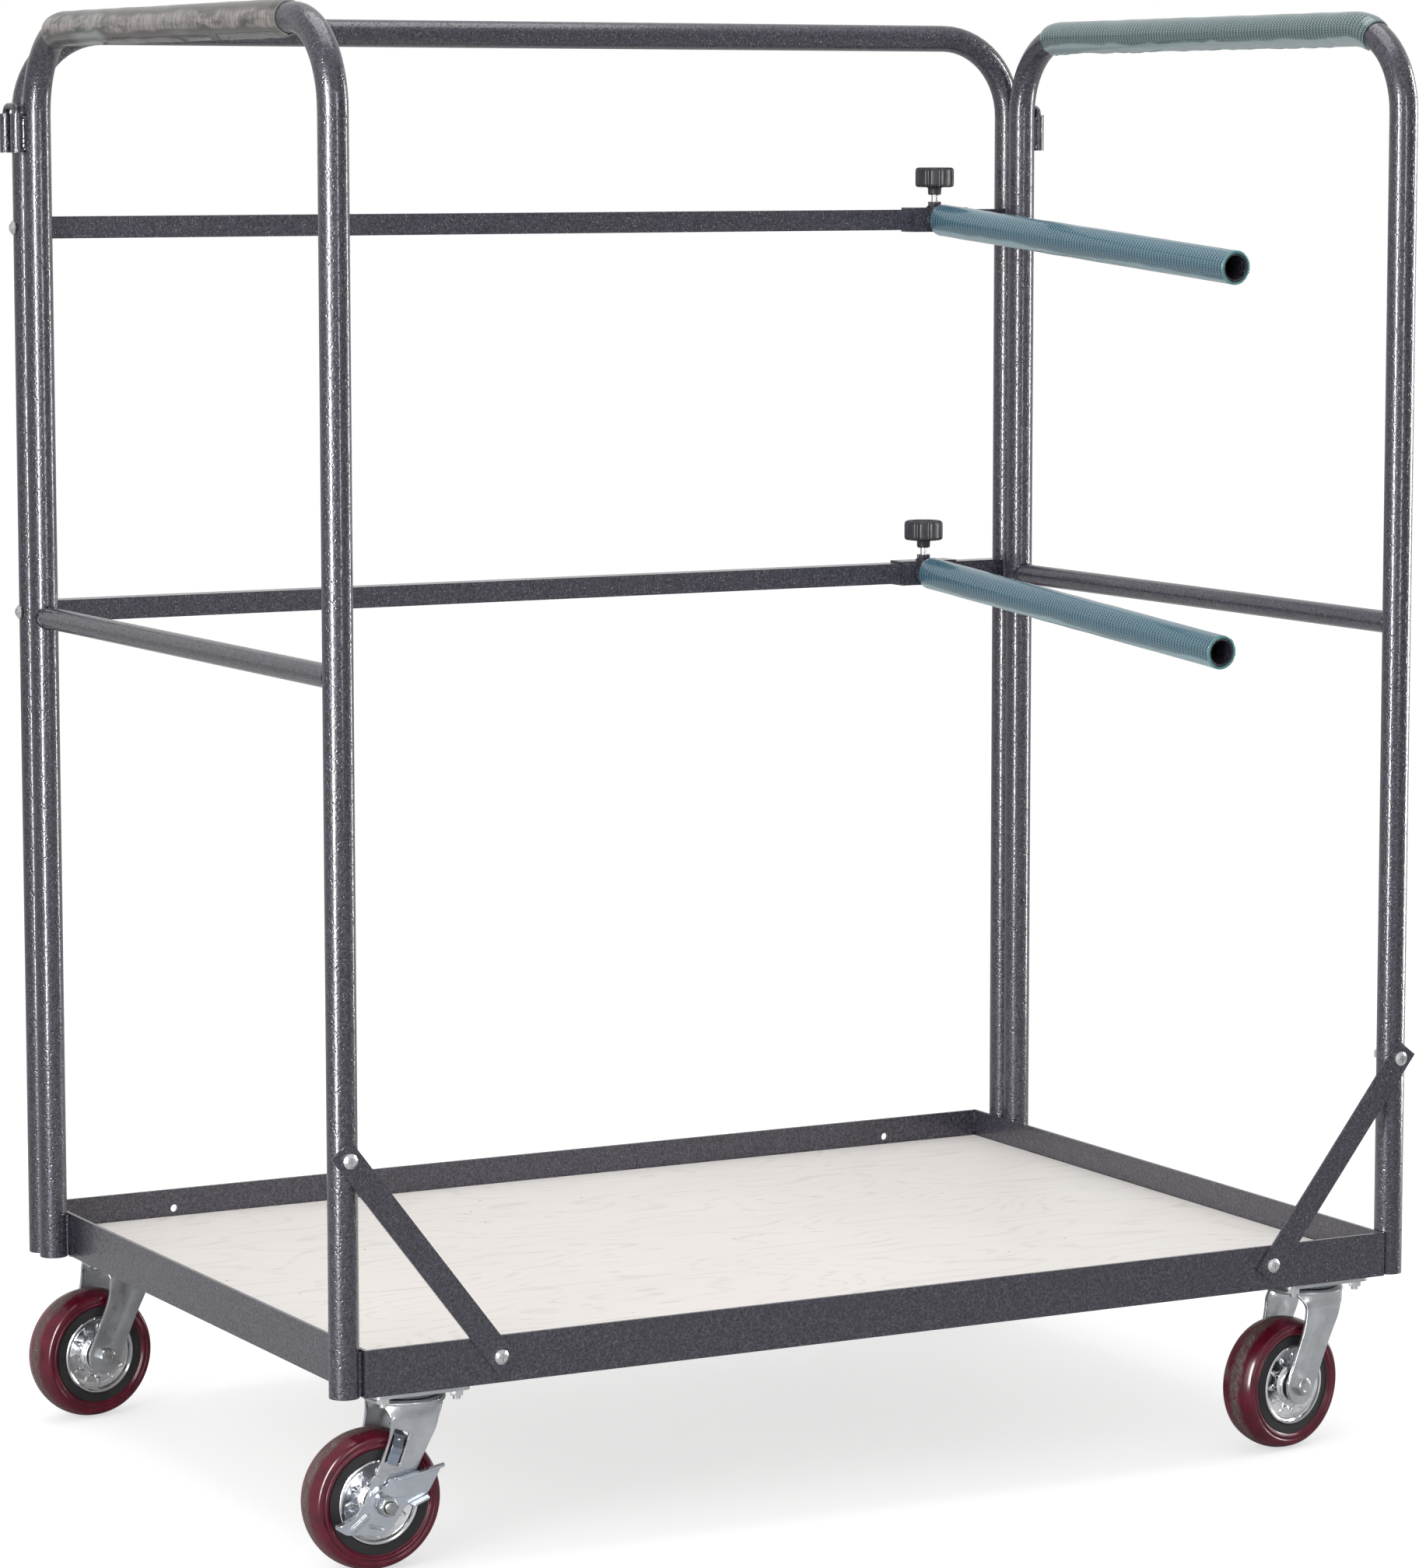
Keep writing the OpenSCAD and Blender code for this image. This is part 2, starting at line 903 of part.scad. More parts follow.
// The flared skirt that runs from the round crown into the two cheeks
module fork_skirt() {
    cut = 60;
    difference() {
        translate([0, 0, crown_z - skirt_drop])
            cylinder(h = skirt_drop, r1 = skirt_r, r2 = crown_r);
        translate([-cut, -leg_in, crown_z - skirt_drop - 1])
            cube([2 * cut, 2 * leg_in, skirt_drop + 1]);
    }
}

// The axle bolt and its nut; the nut is on the side of the brake, or at +Y without one
module axle(c, brake = 0) {
    nut_side = brake < 0 ? 1 : 0;
    nut_start = brake == 0 ? leg_out : pedal_y + pedal_t + 1;
    color(zinc)
        at_axle(c)
            mirror([0, 0, nut_side]) {
                translate([0, 0, -leg_out])
                    cylinder(h = leg_out + nut_start + axle_nut_h + 3, r = axle_r);
                translate([0, 0, -leg_out - axle_head_h])
                    hexagon(axle_head_af, axle_head_h);
                translate([0, 0, nut_start])
                    difference() {
                        hexagon(axle_head_af, axle_nut_h);
                        translate([0, 0, -1])
                            cylinder(h = axle_nut_h + 2, r = axle_r + nut_gap);
                    }
            }
}

module tread(c) {
    color("#6e1226")
        at_axle(c)
            rotate_extrude()
                difference() {
                    intersection() {
                        translate([core_r, -tread_w / 2])
                            square([wheel_d / 2 - core_r, tread_w]);
                        translate([wheel_d / 2 - crown_arc_r, 0])
                            circle(r = crown_arc_r);
                    }
                    for (side = [-1, 1])
                        translate([core_r - 1, side * tread_w / 2])
                            square([6, 4], center = true);
                }
}

module core(c) {
    face = core_w / 2;
    recess = face - cap_recess;
    color("#1c1c1f")
        at_axle(c)
            rotate_extrude()
                polygon([
                    [axle_r + axle_clearance, -hub_w / 2], [hub_r, -hub_w / 2],
                    [hub_r, -recess], [cap_r + 0.5, -recess],
                    [cap_r + 0.5, -face], [core_r, -face],
                    [core_r, face], [cap_r + 0.5, face],
                    [cap_r + 0.5, recess], [hub_r, recess],
                    [hub_r, hub_w / 2], [axle_r + axle_clearance, hub_w / 2]
                ]);
}

// The bright dished caps on both faces of a wheel
module hub_caps(c) {
    recess = core_w / 2 - cap_recess + cap_gap;
    color("#d5d7da")
        at_axle(c)
            for (side = [0, 1])
                mirror([0, 0, side])
                    rotate_extrude()
                        polygon([
                            [hub_r + 0.3, recess], [cap_r, recess],
                            [cap_r, core_w / 2 + 0.5], [cap_r - cap_rim_w, core_w / 2 + 0.5],
                            [cap_r - cap_rim_w - 3, recess + cap_t], [hub_r + 0.3, recess + 2 * cap_t]
                        ]);
}

// The side brake's pedal: it turns on the axle, outside the fork
module brake_pedal(c, brake) {
    flange_d = 8;
    color(zinc)
        at_fork(c)
            mirror([0, brake > 0 ? 1 : 0, 0])
                translate([-trail, -pedal_y, axle_z])
                    difference() {
                        union() {
                            rotate([90, 0, 0])
                                linear_extrude(pedal_t)
                                    polygon([
                                        [-50, -22], [-38, -28], [-20, -31], [-3, -32],
                                        [14, -26], [23, -12], [28, -2], [48, 7], [58, 22], [68, 35],
                                        [10, 27], [-12, 30], [-15, 16], [-22, 2], [-38, -9]
                                    ]);
                            translate([10, -flange_d, 25.5])
                                rotate([0, -8, 0])
                                    cube([58, flange_d, pedal_t]);
                            translate([-51, -flange_d, -23.5])
                                rotate([0, -42, 0])
                                    cube([20, flange_d, pedal_t]);
                        }
                        translate([0, 1, 0])
                            rotate([90, 0, 0])
                                cylinder(h = pedal_t + 2, r = pedal_bore_r);
                        translate([0, 1, 24])
                            rotate([90, 0, 0])
                                cylinder(h = pedal_t + 2, r = 4);
                    }
}

// The spring leaf in the fork's window, with the shoe that reaches in over the tread
module brake_leaf(c, brake) {
    color("#7d8ba4")
        at_fork(c)
            mirror([0, brake > 0 ? 1 : 0, 0])
                translate([window_x, -leg_out + 1, window_z])
                    rotate([0, window_tilt, 0]) {
                        translate([-leaf_w / 2, 0, -window_l + 1])
                            cube([leaf_w, leaf_t, window_l - 4]);
                        translate([-leaf_w / 2, 0, -5])
                            rotate([shoe_rise, 0, 0])
                                cube([leaf_w, shoe_l, leaf_t]);
                    }
}

module front_left_plate() { caster_plate(front_left); }
module front_left_fork() { fork(front_left, -1); }
module front_left_axle() { axle(front_left, -1); }
module front_left_tread() { tread(front_left); }
module front_left_core() { core(front_left); }
module front_left_hub_caps() { hub_caps(front_left); }
module front_left_brake_pedal() { brake_pedal(front_left, -1); }
module front_left_brake_leaf() { brake_leaf(front_left, -1); }
module front_right_plate() { caster_plate(front_right); }
module front_right_fork() { fork(front_right); }
module front_right_axle() { axle(front_right); }
module front_right_tread() { tread(front_right); }
module front_right_core() { core(front_right); }
module front_right_hub_caps() { hub_caps(front_right); }
module rear_left_plate() { caster_plate(rear_left); }
module rear_left_fork() { fork(rear_left); }
module rear_left_axle() { axle(rear_left); }
module rear_left_tread() { tread(rear_left); }
module rear_left_core() { core(rear_left); }
module rear_left_hub_caps() { hub_caps(rear_left); }
module rear_right_plate() { caster_plate(rear_right); }
module rear_right_fork() { fork(rear_right, 1); }
module rear_right_axle() { axle(rear_right, 1); }
module rear_right_tread() { tread(rear_right); }
module rear_right_core() { core(rear_right); }
module rear_right_hub_caps() { hub_caps(rear_right); }
module rear_right_brake_pedal() { brake_pedal(rear_right, 1); }
module rear_right_brake_leaf() { brake_leaf(rear_right, 1); }

deck_frame();
deck_board();
leg_sockets();
end_hoop_spigots();
left_end_hoop();
right_end_hoop();
cross_bars();
left_grip_sleeve();
right_grip_sleeve();
left_brace();
right_brace();
brace_fasteners();
end_pin_sleeves();
caster_fasteners();
rear_hoop();
rear_hoop_spigots();
upper_rail();
lower_rail();
rail_fasteners();
rear_pin_sleeves();
left_lock_pin();
right_lock_pin();
upper_clamp();
upper_arm();
upper_arm_hose();
upper_clamp_screw();
upper_clamp_knob();
lower_clamp();
lower_arm();
lower_arm_hose();
lower_clamp_screw();
lower_clamp_knob();
front_left_plate();
front_left_fork();
front_left_axle();
front_left_tread();
front_left_core();
front_left_hub_caps();
front_right_plate();
front_right_fork();
front_right_axle();
front_right_tread();
front_right_core();
front_right_hub_caps();
rear_left_plate();
rear_left_fork();
rear_left_axle();
rear_left_tread();
rear_left_core();
rear_left_hub_caps();
rear_right_plate();
rear_right_fork();
rear_right_axle();
rear_right_tread();
rear_right_core();
rear_right_hub_caps();
front_left_brake_pedal();
front_left_brake_leaf();
rear_right_brake_pedal();
rear_right_brake_leaf();
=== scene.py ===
import json
import math

import bmesh
import bpy
from mathutils import Matrix, Vector, geometry, noise


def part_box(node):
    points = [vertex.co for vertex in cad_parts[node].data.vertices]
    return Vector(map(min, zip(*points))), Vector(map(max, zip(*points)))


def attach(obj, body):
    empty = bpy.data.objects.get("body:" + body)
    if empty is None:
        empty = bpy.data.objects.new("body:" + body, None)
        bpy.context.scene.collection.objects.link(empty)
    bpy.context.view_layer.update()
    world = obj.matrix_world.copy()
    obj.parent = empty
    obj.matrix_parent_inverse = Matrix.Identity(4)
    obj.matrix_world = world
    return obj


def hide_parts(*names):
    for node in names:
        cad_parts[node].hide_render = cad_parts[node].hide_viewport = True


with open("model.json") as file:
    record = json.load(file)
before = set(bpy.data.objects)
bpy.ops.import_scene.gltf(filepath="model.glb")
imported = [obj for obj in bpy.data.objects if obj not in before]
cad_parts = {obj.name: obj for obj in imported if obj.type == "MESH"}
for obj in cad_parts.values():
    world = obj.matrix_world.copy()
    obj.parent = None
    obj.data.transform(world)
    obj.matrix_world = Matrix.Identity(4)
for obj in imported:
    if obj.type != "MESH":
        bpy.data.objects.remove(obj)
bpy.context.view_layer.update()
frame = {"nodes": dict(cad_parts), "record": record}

MM = 0.001
JOINTS = {j["name"]: j for j in frame["record"]["behaviour"]["joints"]}
NODES = frame["nodes"]


# ---------- node graphs ----------

class Graph:
    """A material and the short calls that fill its node tree."""

    def __init__(self, name):
        self.material = bpy.data.materials.new(name)
        self.material.use_nodes = True
        self.tree = self.material.node_tree
        self.bsdf = self.tree.nodes["Principled BSDF"]

    def add(self, kind, inputs=None, **props):
        n = self.tree.nodes.new(kind)
        for key, value in props.items():
            setattr(n, key, value)
        for key, value in (inputs or {}).items():
            self.put(n.inputs[key], value)
        return n

    def put(self, socket, value):
        if isinstance(value, bpy.types.NodeSocket):
            self.tree.links.new(value, socket)
        else:
            socket.default_value = value

    def set(self, **values):
        for key, value in values.items():
            self.put(self.bsdf.inputs[key.replace("_", " ")], value)

    def coords(self, kind="Object"):
        return self.add("ShaderNodeTexCoord").outputs[kind]

    def stretched(self, vector, scale):
        return self.add("ShaderNodeVectorMath", {0: vector, 1: scale}, operation="MULTIPLY").outputs[0]

    def math(self, op, a, b=0.0, clamp=False):
        return self.add("ShaderNodeMath", {0: a, 1: b}, operation=op, use_clamp=clamp).outputs[0]

    def noise(self, vector, scale, detail=2.0, rough=0.5):
        return self.add("ShaderNodeTexNoise", {
            "Vector": vector, "Scale": scale, "Detail": detail, "Roughness": rough}).outputs[0]

    def cells(self, vector, scale):
        return self.add("ShaderNodeTexVoronoi", {"Vector": vector, "Scale": scale}).outputs["Distance"]

    def span(self, value, low, high, to_low=0.0, to_high=1.0):
        """Maps low..high smoothly to to_low..to_high."""
        return self.add("ShaderNodeMapRange", {
            "Value": value, "From Min": low, "From Max": high, "To Min": to_low, "To Max": to_high},
            interpolation_type="SMOOTHSTEP").outputs[0]

    def mix(self, factor, a, b):
        """Mixes two colours; sockets 0, 6 and 7 are the colour mode's factor, A and B."""
        n = self.add("ShaderNodeMix", data_type="RGBA")
        for i, value in ((0, factor), (6, a), (7, b)):
            if isinstance(value, tuple) and len(value) == 3:
                value = (*value, 1.0)
            self.put(n.inputs[i], value)
        return n.outputs[2]

    def bump(self, height, distance, strength):
        return self.add("ShaderNodeBump", {
            "Height": height, "Distance": distance, "Strength": strength}).outputs[0]


# ---------- materials ----------

def hammertone():
    """Dark hammered paint: pits, blots, and light worm-like lines between them."""
    g = Graph("hammertone_paint")
    at = g.coords()
    blot = g.noise(at, 300.0, 2.0, 0.6)
    worm = g.math("ABSOLUTE", g.math("SUBTRACT", g.noise(at, 210.0, 1.0), 0.5))
    swirl = g.add("ShaderNodeTexNoise", {"Vector": at, "Scale": 260.0, "Detail": 1.0}).outputs["Color"]
    swirl = g.stretched(swirl, (0.0022, 0.0022, 0.0022))
    bent = g.add("ShaderNodeVectorMath", {0: at, 1: swirl}, operation="ADD").outputs[0]
    pits = g.span(g.cells(bent, 225.0), 0.16, 0.36)
    patches = g.noise(at, 14.0, 2.0)
    tone = g.mix(g.span(blot, 0.36, 0.64), (0.013, 0.011, 0.020), (0.064, 0.058, 0.090))
    tone = g.mix(g.span(worm, 0.0, 0.035, 0.75, 0.0), tone, (0.160, 0.148, 0.205))
    tone = g.mix(pits, (0.0035, 0.003, 0.005), tone)
    tone = g.mix(g.span(patches, 0.3, 0.7, 0.0, 0.2), tone, (0.05, 0.045, 0.06))
    height = g.math("ADD", pits, g.math("MULTIPLY", blot, 0.7))
    normal = g.bump(height, 0.0007, 0.6)
    g.set(Base_Color=tone, Metallic=0.15, Roughness=0.36, Specular_IOR_Level=0.5, Normal=normal,
          Coat_Weight=0.9, Coat_Roughness=0.10, Coat_Normal=g.bump(height, 0.0005, 0.4))
    return g.material


def zinc(name, tint, rough, mottle):
    """Zinc plate or plain steel, clouded by mottle and faintly streaked."""
    g = Graph(name)
    at = g.coords()
    cloud = g.noise(at, 38.0, 4.0, 0.6)
    fine = g.noise(at, 700.0, 2.0)
    streak = g.noise(g.stretched(at, (30.0, 30.0, 220.0)), 1.0, 3.0)
    dark = tuple(c * (1.0 - mottle) for c in tint)
    tone = g.mix(g.span(cloud, 0.35, 0.65), dark, tint)
    tone = g.mix(g.span(streak, 0.45, 0.75, 0.0, 0.25), tone, (0.45, 0.47, 0.46))
    g.set(Base_Color=tone, Metallic=0.9,
          Roughness=g.span(cloud, 0.3, 0.7, rough - 0.07, rough + 0.09),
          Normal=g.bump(g.math("ADD", g.math("MULTIPLY", fine, 0.3), cloud), 0.0003, 0.12))
    return g.material


def chrome():
    g = Graph("cap_chrome")
    at = g.coords()
    smudge_and_streak_noise = g.noise(at, 90.0, 3.0)
    g.set(Base_Color=g.mix(g.span(smudge_and_streak_noise, 0.4, 0.8), (0.88, 0.89, 0.91), (0.68, 0.69, 0.72)),
          Metallic=1.0, Roughness=g.span(smudge_and_streak_noise, 0.3, 0.8, 0.10, 0.2),
          Normal=g.bump(g.noise(at, 120.0, 2.0), 0.0002, 0.05))
    return g.material


def plastic(name, tint, rough, grain):
    """Moulded plastic with a fine grain."""
    g = Graph(name)
    at = g.coords()
    fine = g.noise(at, grain, 3.0, 0.6)
    cloud = g.noise(at, 45.0, 2.0)
    lighter = tuple(c * 1.5 + 0.004 for c in tint)
    g.set(Base_Color=g.mix(g.span(cloud, 0.3, 0.75), tint, lighter),
          Roughness=g.span(cloud, 0.3, 0.7, rough, rough + 0.12),
          Normal=g.bump(fine, 0.0003, 0.25))
    return g.material


def tread_rubber():
    """Maroon polyurethane with a dusty running band. U: metres across the tread from its middle."""
    g = Graph("tread_polyurethane")
    at = g.coords()
    across = g.add("ShaderNodeSeparateXYZ", {0: g.coords("UV")}).outputs[0]
    cloud = g.noise(at, 55.0, 4.0, 0.65)
    speck = g.span(g.cells(at, 330.0), 0.10, 0.40)
    ragged = g.math("MULTIPLY", g.math("SUBTRACT", cloud, 0.5), 0.012)
    edge = g.math("ADD", g.math("ABSOLUTE", across), ragged)
    dusty = g.math("MULTIPLY", g.span(edge, 0.0030, 0.0100, 1.0, 0.0),
                   g.span(g.noise(at, 130.0, 3.0), 0.30, 0.56, 0.35, 0.95), clamp=True)
    body = g.mix(g.span(cloud, 0.3, 0.7), (0.100, 0.004, 0.016), (0.175, 0.006, 0.030))
    dust = g.mix(speck, (0.34, 0.31, 0.27), (0.13, 0.09, 0.08))
    g.set(Base_Color=g.mix(dusty, body, dust),
          Roughness=g.math("ADD", g.math("MULTIPLY", dusty, 0.45), 0.22),
          Normal=g.bump(g.noise(at, 480.0, 3.0), 0.0003,
                        g.math("ADD", 0.08, g.math("MULTIPLY", dusty, 0.6))))
    return g.material


def board_laminate():
    """Whitewashed wood grain along X, with a few dark specks."""
    g = Graph("whitewashed_board")
    at = g.coords()
    warp = g.noise(g.stretched(at, (1.1, 3.2, 1.0)), 1.6, 2.0)
    rings = g.math("SINE", g.math("MULTIPLY", warp, 150.0))
    fibre = g.noise(g.stretched(at, (9.0, 210.0, 60.0)), 1.0, 4.0, 0.6)
    grain = g.math("MULTIPLY", g.span(rings, 0.55, 1.0), g.span(fibre, 0.42, 0.66))
    base = g.mix(g.noise(at, 3.0, 3.0), (0.93, 0.875, 0.83), (0.985, 0.945, 0.91))
    tone = g.mix(g.math("MULTIPLY", grain, 0.34), base, (0.52, 0.47, 0.42))
    tone = g.mix(g.span(fibre, 0.5, 0.8, 0.0, 0.10), tone, (0.60, 0.56, 0.51))
    dot_at = g.noise(at, 5.0, 1.0)
    dots = g.math("MULTIPLY", g.span(g.cells(at, 26.0), 0.030, 0.055, 1.0, 0.0),
                  g.span(dot_at, 0.50, 0.60))
    tone = g.mix(g.math("MULTIPLY", dots, 0.75), tone, (0.16, 0.13, 0.11))
    g.set(Base_Color=tone, Roughness=g.span(fibre, 0.3, 0.7, 0.42, 0.58),
          Normal=g.bump(fibre, 0.0002, 0.12))
    return g.material


HOSE_ROUND = 0.1225  # metres round a hose
KNIT_PITCH = 0.0060
KNIT_ROW = 0.0032


def knit_hose(name, deep, thread, lit_through_tone, painted_highlight=None, painted_highlight_amount=0.0):
    """Clear coloured hose with a knitted net inside. Its top and underside carry painted light, lightened as if lit
    through the PVC, and the optional pale band along the side is painted highlight streaks. UV: metres along it, and
    turns round from the top.
    """
    g = Graph(name)
    at = g.coords()
    uv = g.add("ShaderNodeSeparateXYZ", {0: g.coords("UV")})
    along, turn = uv.outputs[0], uv.outputs[1]
    wobble = g.math("MULTIPLY", g.noise(at, 30.0, 2.0), 0.9)
    rows = g.math("MULTIPLY", turn, HOSE_ROUND / KNIT_ROW)
    zigzag = g.math("PINGPONG", g.math("ADD", rows, wobble), 0.5)
    phase = g.math("FRACT", g.math("ADD", g.math("DIVIDE", along, KNIT_PITCH),
                                   g.math("MULTIPLY", zigzag, 1.1)))
    stitch = g.span(g.math("ABSOLUTE", g.math("SUBTRACT", phase, 0.5)), 0.16, 0.34)
    column = g.span(g.math("ABSOLUTE", g.math("SUBTRACT", g.math("FRACT", rows), 0.5)), 0.36, 0.48)
    net = g.math("MAXIMUM", stitch, g.math("MULTIPLY", column, 0.7))
    from_top = g.math("ABSOLUTE", g.math("SUBTRACT", g.math("FRACT", g.math("ADD", turn, 0.5)), 0.5))
    patch = g.noise(g.stretched(at, (20.0, 7.0, 20.0)), 1.0, 3.0)
    lift = g.math("MULTIPLY", g.math("SUBTRACT", patch, 0.5), 0.16)
    low = g.math("ADD", from_top, lift)
    # painted light: the underside, where the hose stands clear of the tube, is lightened towards a pale tone as if
    # lit through the clear PVC
    painted_light_below = g.span(low, 0.335, 0.375)
    # painted light: the top is evened out to a lighter flat tone, as if lit through the PVC
    painted_light_top = g.span(low, 0.085, 0.045, 0.0, 1.0)
    tone = g.mix(net, deep, thread)
    top_lit_tone = tuple(c * 0.7 + d * 0.3 for c, d in zip(thread, deep))
    tone = g.mix(g.math("MULTIPLY", painted_light_top, 0.65), tone, top_lit_tone)
    tone = g.mix(g.math("MULTIPLY", painted_light_below, 0.88), tone, lit_through_tone)
    if painted_highlight:
        # old skin: brown on the top; and painted highlights: pale streaks in a band along the side, broken across
        smudge_and_streak_noise = g.noise(g.stretched(at, (60.0, 22.0, 60.0)), 1.0, 5.0, 0.7)
        streak_breaks = g.span(g.noise(g.stretched(at, (30.0, 190.0, 30.0)), 1.0, 2.0), 0.42, 0.60)
        brown = g.span(g.noise(g.stretched(at, (8.0, 5.0, 8.0)), 1.0, 2.0), 0.30, 0.47)
        tone = g.mix(g.math("MULTIPLY", brown, 0.92), tone, (0.030, 0.017, 0.009))
        band = g.math("MULTIPLY", g.span(low, 0.135, 0.20), g.span(low, 0.36, 0.31, 0.0, 1.0))
        highlight_streaks = g.math("MULTIPLY", g.span(smudge_and_streak_noise, 0.34, 0.56), g.span(streak_breaks, 0.0, 1.0, 0.55, 1.0))
        # painted highlight: the pale streaks are mixed into the colour
        tone = g.mix(g.math("MULTIPLY", g.math("MULTIPLY", highlight_streaks, band), painted_highlight_amount), tone, painted_highlight)
    shape = g.math("ADD", g.math("MULTIPLY", net, 0.5), g.math("MULTIPLY", patch, 1.2))
    g.set(Base_Color=tone, Roughness=g.span(patch, 0.3, 0.7, 0.20, 0.34),
          Coat_Weight=0.75, Coat_Roughness=0.07, Subsurface_Weight=0.12, Subsurface_Scale=0.004,
          Normal=g.bump(shape, 0.0005, 0.30))
    g.bsdf.inputs["Subsurface Radius"].default_value = (0.5, 1.0, 1.0)
    return g.material


PAINT = hammertone()
FORK_ZINC = zinc("fork_zinc", (0.56, 0.58, 0.61), 0.30, 0.12)
BOLT_ZINC = zinc("bolt_zinc", (0.74, 0.75, 0.77), 0.20, 0.12)
AXLE_ZINC = zinc("axle_zinc", (0.52, 0.53, 0.54), 0.26, 0.30)
PEDAL_ZINC = zinc("pedal_zinc", (0.60, 0.64, 0.71), 0.22, 0.10)
BARE_STEEL = zinc("plain_steel", (0.50, 0.51, 0.53), 0.34, 0.20)
SPRING = zinc("spring_steel", (0.34, 0.39, 0.48), 0.20, 0.25)
CHROME = chrome()
KNOB = plastic("knob_plastic", (0.020, 0.018, 0.026), 0.32, 600.0)
CORE = plastic("core_plastic", (0.010, 0.0095, 0.012), 0.46, 380.0)
TREAD = tread_rubber()
BOARD = board_laminate()
# each hose's fourth colour is painted light: the pale tone of its underside, as if lit through the PVC
HOSE = knit_hose("arm_hose_pvc", (0.001, 0.014, 0.036), (0.135, 0.315, 0.405), (0.32, 0.52, 0.58))
# the last colour here is painted highlight: pale streaks along the grip's side
LEFT_GRIP = knit_hose("left_grip_pvc", (0.006, 0.012, 0.008), (0.085, 0.125, 0.105), (0.34, 0.37, 0.36),
                      painted_highlight=(0.42, 0.37, 0.35), painted_highlight_amount=0.95)
RIGHT_GRIP = knit_hose("right_grip_pvc", (0.010, 0.034, 0.040), (0.225, 0.325, 0.335), (0.42, 0.53, 0.55))

SLOT_MATERIALS = {
    "frame_paint": PAINT, "deck_board": BOARD, "arm_hose": HOSE, "left_grip": LEFT_GRIP,
    "right_grip": RIGHT_GRIP, "knob_plastic": KNOB, "wheel_tread": TREAD, "wheel_core": CORE,
    "hub_chrome": CHROME, "spring_steel": SPRING, "bare_steel": BARE_STEEL,
    "zinc_fasteners": BOLT_ZINC, "zinc_casters": FORK_ZINC,
}
for part in frame["record"]["subparts"]:
    for material_slot in NODES[part["node"]].material_slots:
        material_slot.material = SLOT_MATERIALS[part["material_slot"]]


# ---------- mesh building ----------

class Build:
    """Collects grids of quads with UVs, and makes one smooth-shaded mesh of them."""

    def __init__(self):
        self.verts, self.faces, self.uvs, self.slots = [], [], [], []

    def grid(self, rows, cols, point, uv=None, wrap=True, close=False, slot=lambda i, j: 0):
        base = len(self.verts)
        for i in range(rows):
            for j in range(cols):
                self.verts.append(point(i, j))
        uv = uv or (lambda i, j: (i / rows, j / cols))
        for i in range(rows if close else rows - 1):
            n = (i + 1) % rows
            for j in range(cols if wrap else cols - 1):
                k = (j + 1) % cols
                row, after = base + i * cols, base + n * cols
                self.faces.append((row + j, row + k, after + k, after + j))
                self.uvs.append((uv(i, j), uv(i, j + 1), uv(i + 1, j + 1), uv(i + 1, j)))
                self.slots.append(slot(i, j))
        return base

    def face(self, indices, slot=0):
        self.faces.append(tuple(indices))
        self.uvs.append(tuple((0.0, 0.0) for _ in indices))
        self.slots.append(slot)

    def mesh(self, name, sharp=35.0, matrix=None):
        mesh = bpy.data.meshes.new(name)
        mesh.from_pydata([tuple(v) for v in self.verts], [], self.faces)
        layer = mesh.uv_layers.new(name="UVMap")
        for polygon, uvs, slot in zip(mesh.polygons, self.uvs, self.slots):
            polygon.use_smooth = True
            polygon.material_index = slot
            for loop, uv in zip(polygon.loop_indices, uvs):
                layer.data[loop].uv = uv
        if matrix is not None:
            mesh.transform(matrix)
        bm = bmesh.new()
        bm.from_mesh(mesh)
        bmesh.ops.recalc_face_normals(bm, faces=bm.faces)
        bm.to_mesh(mesh)
        bm.free()
        mesh.set_sharp_from_angle(angle=math.radians(sharp))
        return mesh


def add_piece(name, mesh, materials, body, slot, *replaced):
    """Adds a mesh as one piece that rides on a body and stands for the CAD nodes it replaces."""
    for material in materials if isinstance(materials, (list, tuple)) else [materials]:
        mesh.materials.append(material)
    piece = bpy.data.objects.new(name, mesh)
    bpy.context.collection.objects.link(piece)
    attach(piece, body)
    if replaced:
        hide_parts(*replaced)


def lathe(build, profile, segments, uv=None):
    """Turns a closed list of (radius, height) about Z."""
    def point(i, j):
        r, z = profile[i]
        a = 2 * math.pi * j / segments
        return Vector((r * math.cos(a), r * math.sin(a), z))
    build.grid(len(profile), segments, point, uv, close=True)


def rounded(profile, radius, steps=3, closed=True):
    """Rounds the corners of a polygon of (x, y) points with short arcs."""
    out = []
    n = len(profile)
    for i in range(n):
        b = Vector(profile[i]).to_2d()
        if not closed and i in (0, n - 1):
            out.append(tuple(b))
            continue
        a, c = Vector(profile[i - 1]).to_2d(), Vector(profile[(i + 1) % n]).to_2d()
        r = radius[i] if isinstance(radius, (list, tuple)) else radius
        u, v = a - b, c - b
        cut = min(r, u.length * 0.45, v.length * 0.45)
        start, end = b + u.normalized() * cut, b + v.normalized() * cut
        for k in range(steps + 1):
            t = k / steps
            out.append(tuple(start * (1 - t) ** 2 + b * 2 * t * (1 - t) + end * t * t))
    return out


def sweep(build, points, section, up=None, uv=None, slot=lambda i, j: 0, close=False):
    """Carries section(i), a list of (side, up) offsets, along points; returns the rows' first index.

    Without up(i), each row takes its up from the row before it.
    """
    n = len(points)
    frames = []
    for i in range(n):
        if close:
            tangent = (points[(i + 1) % n] - points[i - 1]).normalized()
        else:
            tangent = (points[min(i + 1, n - 1)] - points[max(i - 1, 0)]).normalized()
        if up:
            above = up(i)
        else:
            above = frames[-1][1] if frames else Vector((0.31, 0.2, 0.93))
        above = (above - tangent * above.dot(tangent)).normalized()
        frames.append((tangent.cross(above).normalized(), above))
    sections = [section(i) for i in range(n)]

    def point(i, j):
        side, above = frames[i]
        a, b = sections[i][j]
        return points[i] + side * a + above * b
    return build.grid(n, len(sections[0]), point, uv, slot=slot, close=close)


